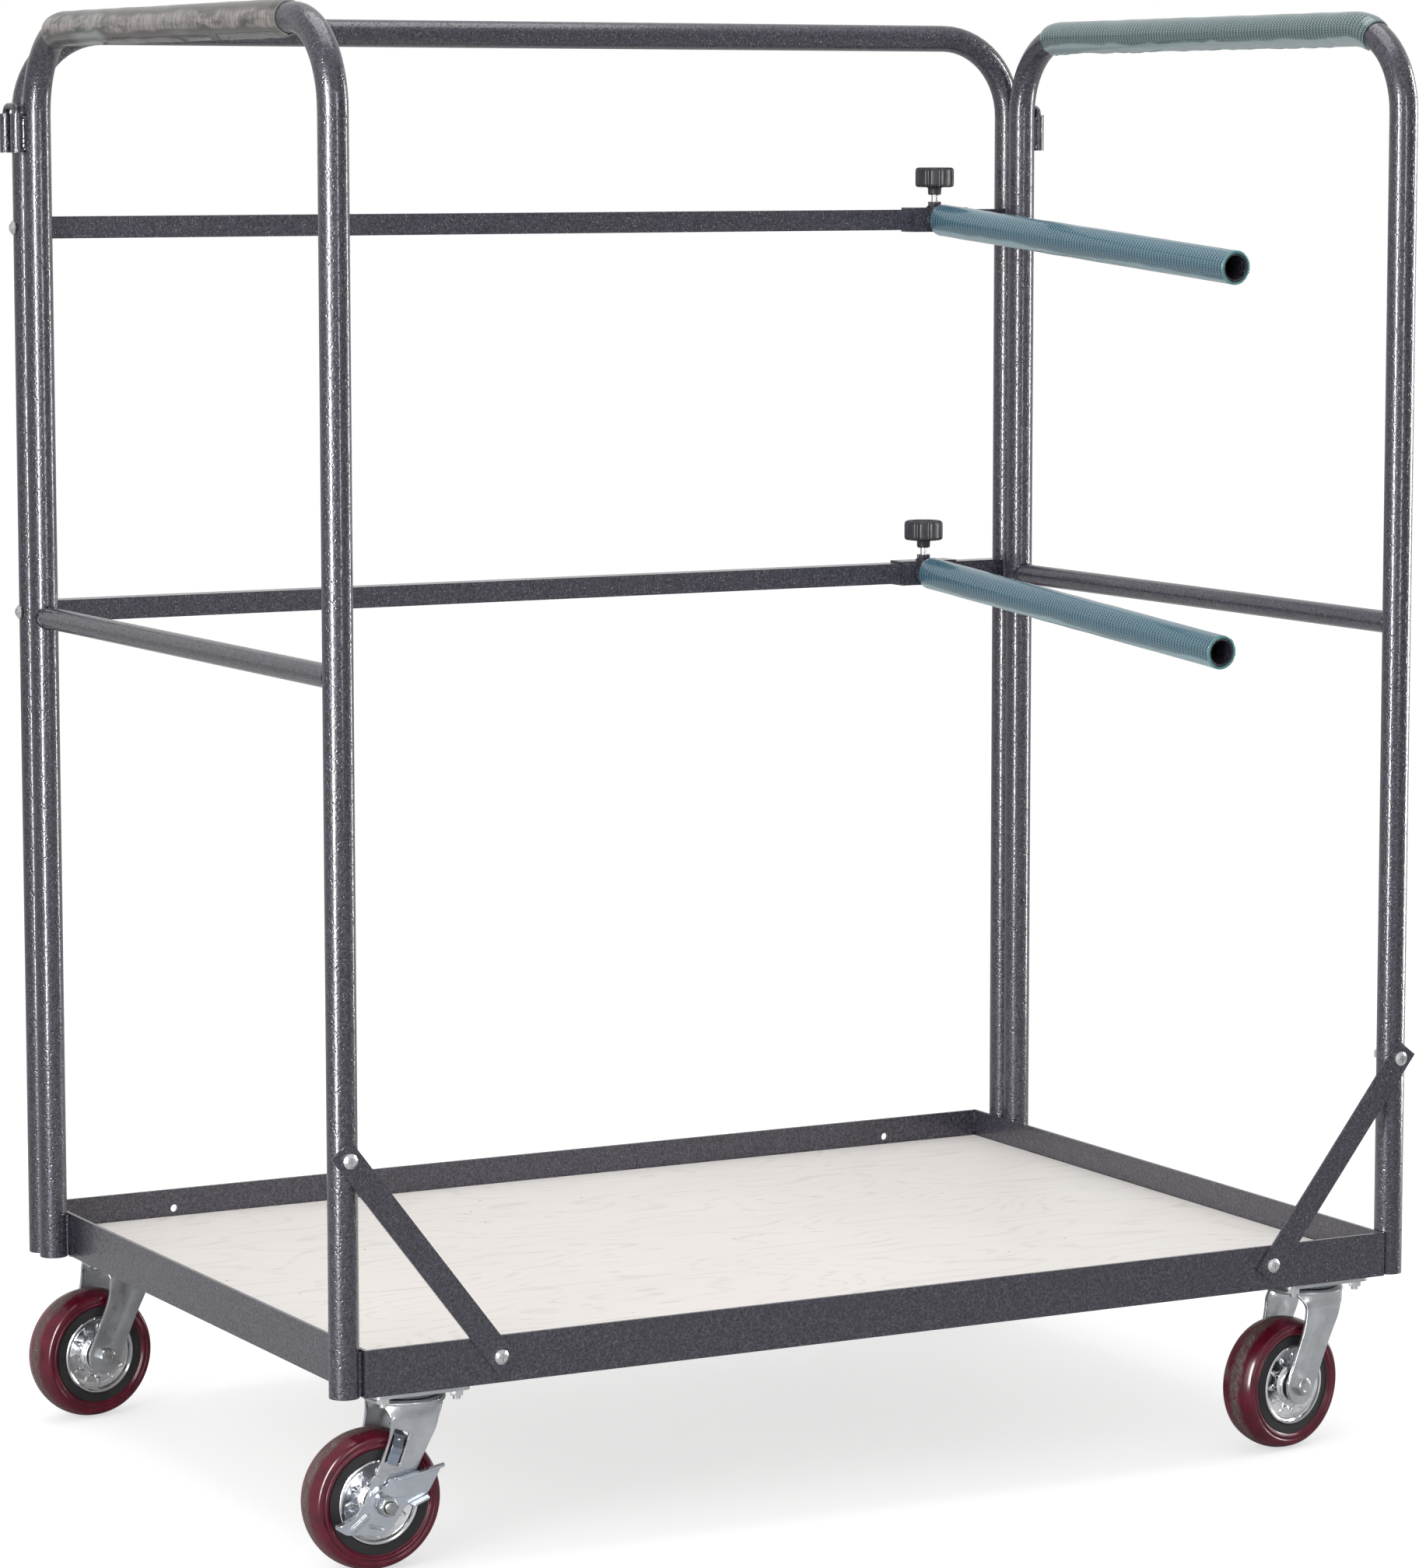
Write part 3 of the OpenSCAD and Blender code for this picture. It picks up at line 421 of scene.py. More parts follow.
def wave(x, y=0.0, z=0.0, scale=1.0, seed=0.0):
    """Smooth noise of about -1 to 1."""
    return noise.noise(Vector((x * scale + seed, y * scale - seed, z * scale + seed * 0.37)))


# ---------- welds ----------

def weld_paint():
    """The frame's paint over welds: shinier, with a touch of rust."""
    g = Graph("painted_weld")
    at = g.coords()
    blot = g.noise(at, 420.0, 2.0)
    ripple = g.noise(at, 150.0, 3.0)
    tone = g.mix(g.span(blot, 0.4, 0.66), (0.020, 0.018, 0.024), (0.11, 0.10, 0.125))
    tone = g.mix(g.span(ripple, 0.58, 0.75, 0.0, 0.5), tone, (0.16, 0.10, 0.085))
    g.set(Base_Color=tone, Metallic=0.45, Roughness=0.22, Normal=g.bump(ripple, 0.0006, 0.5))
    return g.material


WELD = weld_paint()
BEAD_SIDES = 8


def bead(build, points, radius, seed, close=False):
    """A lumpy run of weld along a dense list of points."""
    n = len(points)
    length = [0.0]
    for a, b in zip(points, points[1:]):
        length.append(length[-1] + (b - a).length)

    def section(i):
        coin = abs(math.sin(math.pi * length[i] / (radius * 1.5) + seed))
        swell = 0.84 + 0.22 * coin + 0.22 * wave(length[i] / MM, scale=0.21, seed=seed * 3.1)
        if not close:
            swell *= min(1.0, 0.35 + 0.65 * min(i, n - 1 - i) / 4.0)
        angles = [2 * math.pi * k / BEAD_SIDES for k in range(BEAD_SIDES)]
        return [(radius * swell * math.cos(a), radius * swell * math.sin(a)) for a in angles]
    base = sweep(build, points, section, close=close)
    if not close:
        cap_ends(build, base, n, BEAD_SIDES)


def cap_ends(build, base, rows, cols):
    """Closes the first and last row of a grid."""
    build.face(range(base, base + cols))
    build.face(range(base + (rows - 1) * cols, base + rows * cols))


def line(a, b, step=0.8 * MM):
    """Points from a to b, about step apart."""
    a, b = Vector(a), Vector(b)
    n = max(4, int((b - a).length / step))
    return [a.lerp(b, i / n) for i in range(n + 1)]


# where the CAD's frame lies
TUBE_R = 16 * MM
BEND_R = 95 * MM
END_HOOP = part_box("right_end_hoop")
LEG_X = (END_HOOP[0][0] + END_HOOP[1][0]) / 2
FRONT_Y = END_HOOP[0][1] + TUBE_R
REAR_Y = END_HOOP[1][1] - TUBE_R
BACK_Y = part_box("rear_hoop")[1][1] - TUBE_R
DECK_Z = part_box("deck_board")[0][2] - 4 * MM
RIM_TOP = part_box("deck_frame")[1][2]
HOOP_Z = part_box("rear_hoop")[1][2] - TUBE_R
RIM_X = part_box("deck_frame")[1][0]
RIM_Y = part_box("deck_frame")[1][1]


def root_welds():
    """Beads beside the leg sockets, in the rim's corners, and round the cross bars' ends."""
    build = Build()
    seed = 1.0
    board_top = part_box("deck_board")[1][2]
    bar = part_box("cross_bars")
    bar_z, bar_r = (bar[0][2] + bar[1][2]) / 2, (bar[1][2] - bar[0][2]) / 2
    saddle_r = bar_r + 0.4 * MM
    for side in (-1, 1):
        for y in (FRONT_Y, REAR_Y, BACK_Y):
            for s in (-1, 1):
                seed += 1.7
                at = (side * (RIM_X + 1.3 * MM), y + s * 8.2 * MM)
                bead(build, line((*at, DECK_Z + 3 * MM), (*at, RIM_TOP - 1.5 * MM)), 2.3 * MM, seed)
        for y in (-1, 1):
            seed += 1.3
            at = (side * (RIM_X - 4.6 * MM), y * (RIM_Y - 4.6 * MM))
            bead(build, line((*at, board_top + 1 * MM), (*at, RIM_TOP - 2 * MM)), 2.0 * MM, seed)
        for y, toward in ((FRONT_Y, 1), (REAR_Y, -1)):
            seed += 2.1
            ring = []
            for k in range(72):
                a = 2 * math.pi * k / 72
                across = saddle_r * math.cos(a)
                out = math.sqrt(TUBE_R ** 2 - across ** 2) + 0.3 * MM
                ring.append(Vector((side * LEG_X + across, y + toward * out, bar_z + saddle_r * math.sin(a))))
            bead(build, ring, 1.5 * MM, seed, close=True)
    add_piece("frame_welds", build.mesh("frame_welds"), WELD, "trolley", "frame_paint")


def sleeve_welds(name, y, body):
    """Two beads along each lock pin sleeve."""
    build = Build()
    low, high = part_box(name)[0][2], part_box(name)[1][2]
    for side in (-1, 1):
        for s in (-1, 1):
            at = (side * (LEG_X + TUBE_R + 1.9 * MM), y + s * 6.0 * MM)
            bead(build, line((*at, low + 4 * MM), (*at, high - 4 * MM)), 1.9 * MM, side * 3.3 + s + y)
    add_piece(name + "_welds", build.mesh(name + "_welds"), WELD, body, "frame_paint")


def arm_root(which):
    """Where the arm's axis leaves the clamp's front face."""
    clamp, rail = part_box(which + "_clamp"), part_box(which + "_rail")
    return Vector(((clamp[0][0] + clamp[1][0]) / 2, clamp[0][1], (rail[0][2] + rail[1][2]) / 2))


def clamp_welds(which):
    """Beads on both sides of the arm's root, and three short ones round the screw's nut."""
    x, y0, z = arm_root(which)
    build = Build()
    ring = []
    for k in range(96):
        a = 2 * math.pi * k / 96
        r = 17.3 * MM
        up = r * math.sin(a)
        ring.append(Vector((x + r * math.cos(a), y0 - 1.0 * MM + up * math.tan(ARM_DROOP) * 0.5, z + up)))
    ring = [p for p in ring if p.z < z + 14.6 * MM and p.z > z - 14.8 * MM]
    left = sorted((p for p in ring if p.x < x), key=lambda p: p.z)
    right = sorted((p for p in ring if p.x > x), key=lambda p: p.z)
    bead(build, left, 2.1 * MM, x)
    bead(build, right, 2.1 * MM, x + 1)
    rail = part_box(which + "_rail")
    nut_y, nut_top, nut_r = (rail[0][1] + rail[1][1]) / 2, z + 15.5 * MM, 8.9 * MM
    for start in (20, 140, 260):
        angles = [math.radians(a) for a in range(start, start + 62, 5)]
        arc = [Vector((x + nut_r * math.cos(a), nut_y + nut_r * math.sin(a), nut_top)) for a in angles]
        bead(build, arc, 1.7 * MM, start)
    add_piece(which + "_clamp_welds", build.mesh(which + "_clamp_welds"), WELD, which + "_clamp", "frame_paint")


# ---------- hoses ----------

ARM_DROOP = math.radians(4.0)
ARM_LENGTH = 658 * MM


def arm_hose(which):
    """The arm's hose: it rests on top of the tube and hangs a little clear of it below."""
    root = arm_root(which)
    ahead = Vector((0.0, -math.cos(ARM_DROOP), -math.sin(ARM_DROOP)))
    up = Vector((0.0, -math.sin(ARM_DROOP), math.cos(ARM_DROOP)))
    side = ahead.cross(up)
    start, end = 5 * MM, ARM_LENGTH + 1.5 * MM
    wall, inner = 3.0 * MM, 16.45 * MM
    segments = 80
    rows = 150
    seed = 3.0 if which == "upper" else 9.0
    lip = [(0.0, 0.0), (0.25, 0.55), (0.75, 0.90), (1.3, 1.0)]
    profile = [(start + a * MM, wall * b) for a, b in lip]
    profile += [(start + (end - start) * i / rows, wall) for i in range(1, rows)]
    profile += [(end - a * MM, wall * b) for a, b in reversed(lip)]
    outer_count = len(profile)
    profile += [(end - 2 * MM - (end - start - 4 * MM) * i / 12, 0.0) for i in range(13)]

    def point(i, j):
        s, thick = profile[i]
        a = 2 * math.pi * j / segments
        sag = 0.35 * MM * (1.0 - math.cos(a)) / 2
        lump = 0.35 * MM * wave(s / MM, math.cos(a) * 2, math.sin(a) * 2, 0.02, seed) if thick > 0 else 0.0
        r = inner + thick + sag + lump
        return root + ahead * s + up * (r * math.cos(a)) + side * (r * math.sin(a))

    build = Build()
    build.grid(len(profile), segments, point,
               uv=lambda i, j: (profile[i % len(profile)][0], j / segments),
               close=True, slot=lambda i, j: 0 if 2 <= i < outer_count - 4 else 1)
    add_piece(which + "_hose", build.mesh(which + "_hose", 50.0), [HOSE, HOSE_LIP],
              which + "_clamp", "arm_hose", which + "_arm_hose")


def plain_pvc(name, tint):
    """The hoses' cut edges and insides."""
    g = Graph(name)
    at = g.coords()
    cloud = g.noise(at, 90.0, 3.0)
    darker = tuple(c * 0.72 for c in tint)
    g.set(Base_Color=g.mix(g.span(cloud, 0.3, 0.7), darker, tint), Roughness=0.18,
          Coat_Weight=0.4, Coat_Roughness=0.1, Normal=g.bump(cloud, 0.0004, 0.2))
    return g.material


HOSE_LIP = plain_pvc("hose_cut_edge", (0.16, 0.40, 0.40))
LEFT_LIP = plain_pvc("left_grip_cut_edge", (0.42, 0.46, 0.42))
RIGHT_LIP = plain_pvc("right_grip_cut_edge", (0.40, 0.58, 0.54))


def grip(name, side, front_y, front_turn, rear_turn, materials, seed):
    """A hose slit along its underside and pushed over the hoop's top bar."""
    straight_front, straight_rear = FRONT_Y + BEND_R, REAR_Y - BEND_R
    path, ups = [], []

    def step(y, angle, away):
        """A point of the bar's middle line, at an angle round the bend that starts at y."""
        turned = away * math.sin(angle)
        path.append(Vector((side * LEG_X, y + BEND_R * turned, HOOP_Z - BEND_R * (1 - math.cos(angle)))))
        ups.append(Vector((0, turned, math.cos(angle))))

    if front_turn:
        n = 12
        for k in range(n):
            step(straight_front, math.radians(front_turn) * (1 - k / n), -1)
    n = 130
    for k in range(n):
        step(front_y + (straight_rear - front_y) * k / n, 0.0, 1)
    n = 14
    for k in range(n + 1):
        step(straight_rear, math.radians(rear_turn) * k / n, 1)
    count = len(path)
    arc = 60
    inner, wall = 16.35 * MM, 2.7 * MM
    slit = {}

    def half_slit(i, s):
        """Half the slit's width, in radians, on side s at row i."""
        if (i, s) not in slit:
            y = path[i].y / MM
            width = 0.10 + 0.09 * abs(wave(y, 0, 0, 0.016, seed + s)) + 0.05 * wave(y, 0, 0, 0.06, seed - s)
            for at, wide, more in NICKS[name]:
                width += more * math.exp(-((y - at) / wide) ** 2)
            slit[(i, s)] = width
        return slit[(i, s)]

    def section(i):
        left, right = math.pi - half_slit(i, -1), math.pi - half_slit(i, 1)
        out = []
        y = path[i].y / MM
        end_round = min(1.0, 0.55 + 0.15 * min(i, count - 1 - i))

        def around(k):
            """The angle at column k, and how near it is to the slit's edge."""
            return -left + (left + right) * k / arc, max(0.0, 1.0 - min(k, arc - k) / 5.0)

        for k in range(arc + 1):
            a, edge = around(k)
            flare = 1.6 * MM * edge ** 2 * (0.6 + 1.2 * abs(wave(y, a, 0, 0.03, seed)))
            lump = 0.45 * MM * wave(y, math.cos(a) * 14, math.sin(a) * 14, 0.028, seed)
            r = inner + wall * end_round + flare + lump
            out.append((r * math.sin(a), r * math.cos(a)))
        for k in range(arc, -1, -1):
            a, edge = around(k)
            r = inner + 0.9 * MM * edge ** 2
            out.append((r * math.sin(a), r * math.cos(a)))
        return out

    total = 2 * (arc + 1)

    def turn(j):
        j = j % total if j < total else 0
        k = j if j <= arc else 2 * arc + 1 - j
        return k / arc - 0.5

    lengths = [0.0]
    for a, b in zip(path, path[1:]):
        lengths.append(lengths[-1] + (b - a).length)
    build = Build()
    base = sweep(build, path, section, up=lambda i: ups[i],
                 uv=lambda i, j: (lengths[i], turn(j)),
                 slot=lambda i, j: 0 if j < arc else 1)
    for row in (0, count - 1):
        for k in range(arc):
            first = base + row * total
            build.face((first + k, first + k + 1, first + total - 2 - k, first + total - 1 - k), slot=1)
    slot = name.replace("_piece", "")
    add_piece(name, build.mesh(name, 50.0), materials, "trolley", slot, slot + "_sleeve")


# nicks in the slit's edge: (place along Y in mm, width in mm, depth in radians)
NICKS = {
    "left_grip_piece": [(-150.0, 16.0, 0.28), (150.0, 14.0, 0.30), (-260.0, 30.0, 0.10), (20.0, 40.0, 0.08)],
    "right_grip_piece": [(-70.0, 12.0, 0.22), (60.0, 14.0, 0.20), (240.0, 26.0, 0.22), (150.0, 18.0, 0.12)],
}


# ---------- casters ----------

def wheel_matrix(corner):
    """The wheel's frame: its axle along Z."""
    joint = JOINTS[corner + "_wheel_spin"]
    z = Vector(joint["axis"]).normalized()
    x = Vector((z.y, -z.x, 0.0))
    y = z.cross(x)
    m = Matrix((x, y, z)).transposed().to_4x4()
    m.translation = Vector(joint["pos_m"])
    return m


def tread_piece(corner):
    """The tyre: a rounded tread with a stepped side."""
    right = [(56.3, 20.6), (58.0, 21.6), (58.6, 23.2), (61.0, 23.75), (62.0, 22.7), (63.2, 22.6), (64.2, 23.6),
             (66.5, 23.7), (68.6, 22.9), (70.2, 21.0), (71.6, 17.8), (73.0, 13.6), (74.2, 8.6), (74.85, 4.2)]
    profile = right + [(75.0, 0.0)] + [(r, -z) for r, z in reversed(right)]
    outer = rounded(profile, 0.7, 2, closed=False)
    outer = [(r * MM, z * MM) for r, z in outer] + [(56.2 * MM, -15 * MM), (56.2 * MM, 15 * MM)]
    build = Build()
    lathe(build, outer, 128, uv=lambda i, j: (outer[i % len(outer)][1], j / 128))
    add_piece(corner + "_tyre", build.mesh(corner + "_tyre", 40.0, wheel_matrix(corner)), TREAD,
              corner + "_wheel", "wheel_tread", corner + "_tread")


def cap_piece(corner):
    """A pressed cap: a bright double bead, and a dished web of twelve petals with a kite between each two."""
    petals, fine = 12, 20
    segments = petals * fine
    rings = [(45.3, -0.9), (45.3, 0.5), (44.6, 1.3), (43.2, 1.6), (41.9, 1.1), (41.3, 0.0), (40.9, -1.4),
             (40.2, -2.2), (39.2, -2.5)]
    rings += [(r, -2.6 - 0.9 * math.sin(math.pi * (38.4 - r) / 16.0)) for r in
              (38.4, 37.4, 36.2, 35.0, 33.8, 32.6, 31.4, 30.2, 29.2, 28.2, 27.2, 26.2, 25.2, 24.2, 23.2)]
    rings += [(22.2, -2.1), (21.2, -0.9), (20.4, 1.2), (19.4, 2.1), (17.6, 2.3), (16.6, 1.9), (16.5, -2.0)]

    def web(r, p):
        """The height of the kites and of the scalloped step round the collar."""
        away = abs((p + 0.5) % 1.0 - 0.5) * 2 * math.pi * r / petals
        wide = 3.6 * max(0.0, 1.0 - (r - 30.5) / 8.5 if r > 30.5 else 1.0 - (30.5 - r) / 5.0)
        kite = 1.9 * min(1.0, wide / 2.2) * max(0.0, 1.0 - away / max(wide, 0.05))
        swing = 1.6 * math.cos(2 * math.pi * p)
        scallop = 0.7 * ease(r, 27.6 + swing, 26.2 + swing - 0.01) if r < 31 else 0.0
        return kite - scallop - 0.5 * max(0.0, 1.0 - away / 0.7) * (r < 38.6)
    build = Build()
    face = 21.0
    for side in (1, -1):
        def point(i, j, side=side):
            r, z = rings[i]
            a = 2 * math.pi * j / segments
            if 22.5 < r < 39.0:
                z += web(r, (j / fine) % 1.0)
            return Vector((r * MM * math.cos(a), r * MM * math.sin(a), side * (face + z) * MM))
        build.grid(len(rings), segments, point)
    add_piece(corner + "_caps", build.mesh(corner + "_caps", 14.0, wheel_matrix(corner)), CHROME,
              corner + "_wheel", "hub_chrome", corner + "_hub_caps")


def axle_piece(corner, brake):
    """The axle bolt: a rough hexagon head with a chamfer, and a nut with the bolt's domed end in it."""
    start = 39.5 if brake else 34.0
    top = start + 9.0
    # (place along the axle, radius, how hexagonal: 0 to 1)
    bolt = [(-41.3, 0.02, 0), (-41.3, 4.6, 0), (-41.7, 5.4, 0), (-41.5, 7.6, 0), (-41.0, 9.0, 0),
            (-40.2, 9.2, 0.5), (-39.6, 9.5, 1), (-34.1, 9.5, 1), (-34.0, 6.0, 0), (top + 2.2, 6.0, 0),
            (top + 3.0, 5.3, 0), (top + 3.5, 3.4, 0), (top + 3.7, 0.02, 0)]
    nut = [(start, 6.2, 0), (start, 9.3, 0.7), (start + 0.4, 9.5, 1), (top - 1.4, 9.5, 1),
           (top - 0.5, 9.2, 0.3), (top, 8.6, 0), (top, 7.0, 0), (top - 0.9, 6.2, 0)]
    build = Build()
    side = -1 if brake < 0 else 1
    for profile, close in ((bolt, False), (nut, True)):
        def point(i, j, profile=profile):
            z, r, hexed = profile[i]
            a = 2 * math.pi * j / 72
            flat = r / math.cos(math.radians((5 * j) % 60 - 30))
            r = r * (1 - hexed) + min(flat, 10.75) * hexed
            return Vector((r * math.cos(a), r * math.sin(a), side * z)) * MM
        build.grid(len(profile), 72, point, close=close)
    add_piece(corner + "_axle_bolt", build.mesh(corner + "_axle_bolt", 24.0, wheel_matrix(corner)), AXLE_ZINC,
              corner + "_fork", "zinc_fasteners", corner + "_axle")


def fork_matrix(corner):
    """The fork's frame: the kingpin along Z, the floor at 0, and the wheel trailing towards -X."""
    axis = JOINTS[corner + "_wheel_spin"]["axis"]
    turn = Matrix.Rotation(math.atan2(-axis[0], axis[1]), 4, "Z")
    turn.translation = Vector((*JOINTS[corner + "_swivel"]["pos_m"][:2], 0.0))
    return turn


def arc_points(x, z, radius, start, end, count):
    angles = [math.radians(start + (end - start) * k / count) for k in range(count + 1)]
    return [(x + radius * math.cos(a), z + radius * math.sin(a)) for a in angles]


def stamped(loops, depth, bend, edge, step):
    """Sheet cut to loops of (x, z) in mm, edges rounded, split by step, and moved by bend(x, y, z)."""
    bm = bmesh.new()
    flat = [[Vector((x, z, 0.0)) for x, z in loop] for loop in loops]
    points = [q for loop in flat for q in loop]
    front = [bm.verts.new((q.x, 0.0, q.y)) for q in points]
    back = [bm.verts.new((q.x, depth, q.y)) for q in points]
    for a, b, c in geometry.tessellate_polygon(flat):
        bm.faces.new((front[a], front[b], front[c]))
        bm.faces.new((back[c], back[b], back[a]))
    first = 0
    for loop in flat:
        for i in range(len(loop)):
            a, b = first + i, first + (i + 1) % len(loop)
            bm.faces.new((front[a], front[b], back[b], back[a]))
        first += len(loop)
    bmesh.ops.recalc_face_normals(bm, faces=bm.faces)
    rims = [e for e in bm.edges if e.verts[0].co.y == e.verts[1].co.y and e.calc_face_angle(0.0) > 1.2]
    bmesh.ops.bevel(bm, geom=rims, offset=edge, segments=2, profile=0.5, affect="EDGES")
    xs, zs = [q.x for q in points], [q.y for q in points]
    for values, normal in ((xs, (1, 0, 0)), (zs, (0, 0, 1))):
        at = min(values) + step
        while at < max(values) - step / 2:
            bmesh.ops.bisect_plane(bm, geom=bm.verts[:] + bm.edges[:] + bm.faces[:],
                                   plane_co=tuple(at * c for c in normal), plane_no=normal)
            at += step
    for v in bm.verts:
        v.co = Vector(bend(*v.co)) * MM
    mesh = bpy.data.meshes.new("blank")
    bm.to_mesh(mesh)
    bm.free()
    return mesh


def joined(name, meshes, matrix, sharp=38.0):
    """One smooth-shaded mesh of several, which are used up."""
    bm = bmesh.new()
    for part_mesh in meshes:
        bm.from_mesh(part_mesh)
        bpy.data.meshes.remove(part_mesh)
    bmesh.ops.recalc_face_normals(bm, faces=bm.faces)
    mesh = bpy.data.meshes.new(name)
    bm.to_mesh(mesh)
    bm.free()
    mesh.transform(matrix)
    for polygon in mesh.polygons:
        polygon.use_smooth = True
    mesh.set_sharp_from_angle(angle=math.radians(sharp))
    return mesh


def ease(value, low, high):
    """0 at low, 1 at high, smooth between; low may be the larger."""
    t = max(0.0, min(1.0, (value - low) / (high - low)))
    return t * t * (3.0 - 2.0 * t)


def capsule(x, z, a, b):
    """Distance from a point to the line a-b."""
    at, start, end = Vector((x, z)), Vector(a), Vector(b)
    along = end - start
    t = max(0.0, min(1.0, (at - start).dot(along) / along.length_squared))
    return (at - start - along * t).length


AXLE_X, AXLE_Z = -40.0, 75.0  # in the fork's frame, in mm
WINDOW = Matrix.Translation((-18.5, 0, 151)) @ Matrix.Rotation(math.radians(-20), 4, "Y").inverted()


def in_window(x, z):
    """From the leaning frame of the brake's window to the fork's frame."""
    q = WINDOW @ Vector((x, 0, z))
    return (q.x, q.z)


def fork_piece(corner, brake):
    """Two stamped legs that flare at the top into the round crown, with its rolled edge."""
    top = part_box(corner + "_fork")[1][2] / MM
    low = top - 6.0
    radius = 42.5
    outline = rounded([
        (-37.0, low + 2), (-30.0, low - 12), (-33.0, 142), (-60.5, 80.5),
        *arc_points(AXLE_X, AXLE_Z, 21, 190, 345, 18),
        (1.0, 115), (21.0, 151), (24.5, low - 12), (33.0, low + 2)],
        [0.5, 12, 40] + [0.5] * 20 + [30, 30, 12, 0.5], 5)
    hole = rounded([in_window(*q) for q in ((-9, 0), (9, 0), (9, -36), (-9, -36))], 1.2, 2)
    meshes = []
    for side in (-1, 1):
        def bend(x, y, z, side=side):
            rim = math.sqrt(max(0.0, radius ** 2 - min(x * x, 40.0 ** 2)))
            flare = ease(z, low - 17, low + 1)
            out = 30.0 + (4.0 - y) + flare * (rim - 35.0)
            if side != brake:
                out -= 0.9 * ease(capsule(x, z, (-6, 150), (-36, 92)), 12, 4) * (1 - flare)
            return (x, side * out, z)
        meshes.append(stamped([outline, hole] if side == brake else [outline], 4.0, bend, 0.7, 3.0))
    build = Build()
    profile = rounded([(9.3, top), (30.0, top), (33.0, top - 1.2), (40.5, top - 0.6), (43.2, top - 3.0),
                       (42.6, low - 0.5), (38.5, low), (9.3, low)], 0.8, 2)
    lathe(build, [(r * MM, z * MM) for r, z in profile], 72)
    meshes.append(build.mesh("crown"))
    add_piece(corner + "_legs", joined(corner + "_legs", meshes, fork_matrix(corner)), FORK_ZINC,
              corner + "_fork", "zinc_casters", corner + "_fork")


def flange(a, b, out, length):
    """An edge turned outwards (-Y) along the line a-b, its ends rounded."""
    root, sheet, rows = 2.4, 2.2, 26
    a, b, out = Vector(a), Vector(b), Vector(out).normalized()
    build = Build()
    ring = []
    for k in range(7):
        t = math.radians(90 * k / 6)
        ring.append((root * math.sin(t), -root * (1 - math.cos(t)), 0.0))
    ring += [(root, -root, 1.0), (root - 0.5, -root - 0.5, 1.0), (root - sheet + 0.5, -root - 0.5, 1.0),
             (root - sheet, -root, 1.0)]
    inner = root - sheet
    for k in range(6, -1, -1):
        t = math.radians(90 * k / 6)
        ring.append((inner * math.sin(t) - 0.4 * math.cos(t), -root + inner * math.cos(t), 0.0))

    def point(i, j):
        t = i / (rows - 1)
        shrink = math.sqrt(max(0.0, 1.0 - abs(2 * t - 1) ** 9))
        off, y, far = ring[j]
        at = a.lerp(b, t) + out * off
        return Vector((at.x, y - far * (length - root) * shrink, at.y)) * MM
    cap_ends(build, build.grid(rows, len(ring), point), rows, len(ring))
    return build.mesh("flange")


def brake_matrix(corner, brake):
    """The fork's frame, turned over where the brake is on its other side."""
    flip = Matrix.Scale(-1.0, 4, (0, 1, 0)) if brake > 0 else Matrix.Identity(4)
    return fork_matrix(corner) @ flip


def pedal_piece(corner, brake):
    """The side brake's pedal: a stamped plate with an ear, a notch and three turned-out edges."""
    outline = rounded([
        (-57, -18.5), (-45, -26.5), (-30, -28), (-16, -30.5), (-3, -31), (8, -24), (15, -14), (21, -4), (30, -1),
        (48, 7), (57, 22), (66, 37.5), (38, 32.2), (9, 27.6), (4.2, 27.4), *arc_points(-1, 25, 3.8, 15, -195, 12),
        (-6, 29.5), (-8, 32.8), (-13, 33.2), (-16.5, 29), (-16.5, 18), (-20.5, 8), (-28, 1), (-33, -7), (-38, -10.5),
        (-57, -14)],
        [1.5, 3, 4, 5, 6, 6, 4, 4, 5, 6, 8, 2, 1, 3, 1.5] + [0.3] * 13 + [1, 2.5, 3, 4, 6, 6, 6, 4, 4, 1.5], 4)
    bore = arc_points(0, 0, 6.4, 0, 360 - 18, 19)

    def bend(x, y, z):
        y -= 1.1 * ease(capsule(x, z, (-37, -21.5), (-22, -9.5)), 3.6, 2.2)
        y += 1.2 * ease(capsule(x, z, (-17, -20.0), (-5, -23.5)), 1.9, 0.9)
        y -= 1.6 * ease(capsule(x, z, (-17.5, 8.5), (-8, 17)), 6.5, 0.5) * ease(z, 6, 16)
        return (x, y, z)
    meshes = [stamped([outline, bore], 2.4, bend, 0.6, 1.6)]
    for a, b, out, length in (((9, 26.4), (66, 36.6), (-0.17, 1), 10.5),
                              ((-56.5, -16.0), (-35, -7.6), (-0.36, 0.93), 10.0),
                              ((27, -0.8), (47, 6.8), (0.36, -0.93), 9.0)):
        meshes.append(flange(a, b, out, length))
    place = Matrix.Translation(Vector((AXLE_X, -38.4, AXLE_Z)) * MM)
    add_piece(corner + "_pedal", joined(corner + "_pedal", meshes, brake_matrix(corner, brake) @ place),
              PEDAL_ZINC, corner + "_brake_pedal", "zinc_casters", corner + "_brake_pedal")


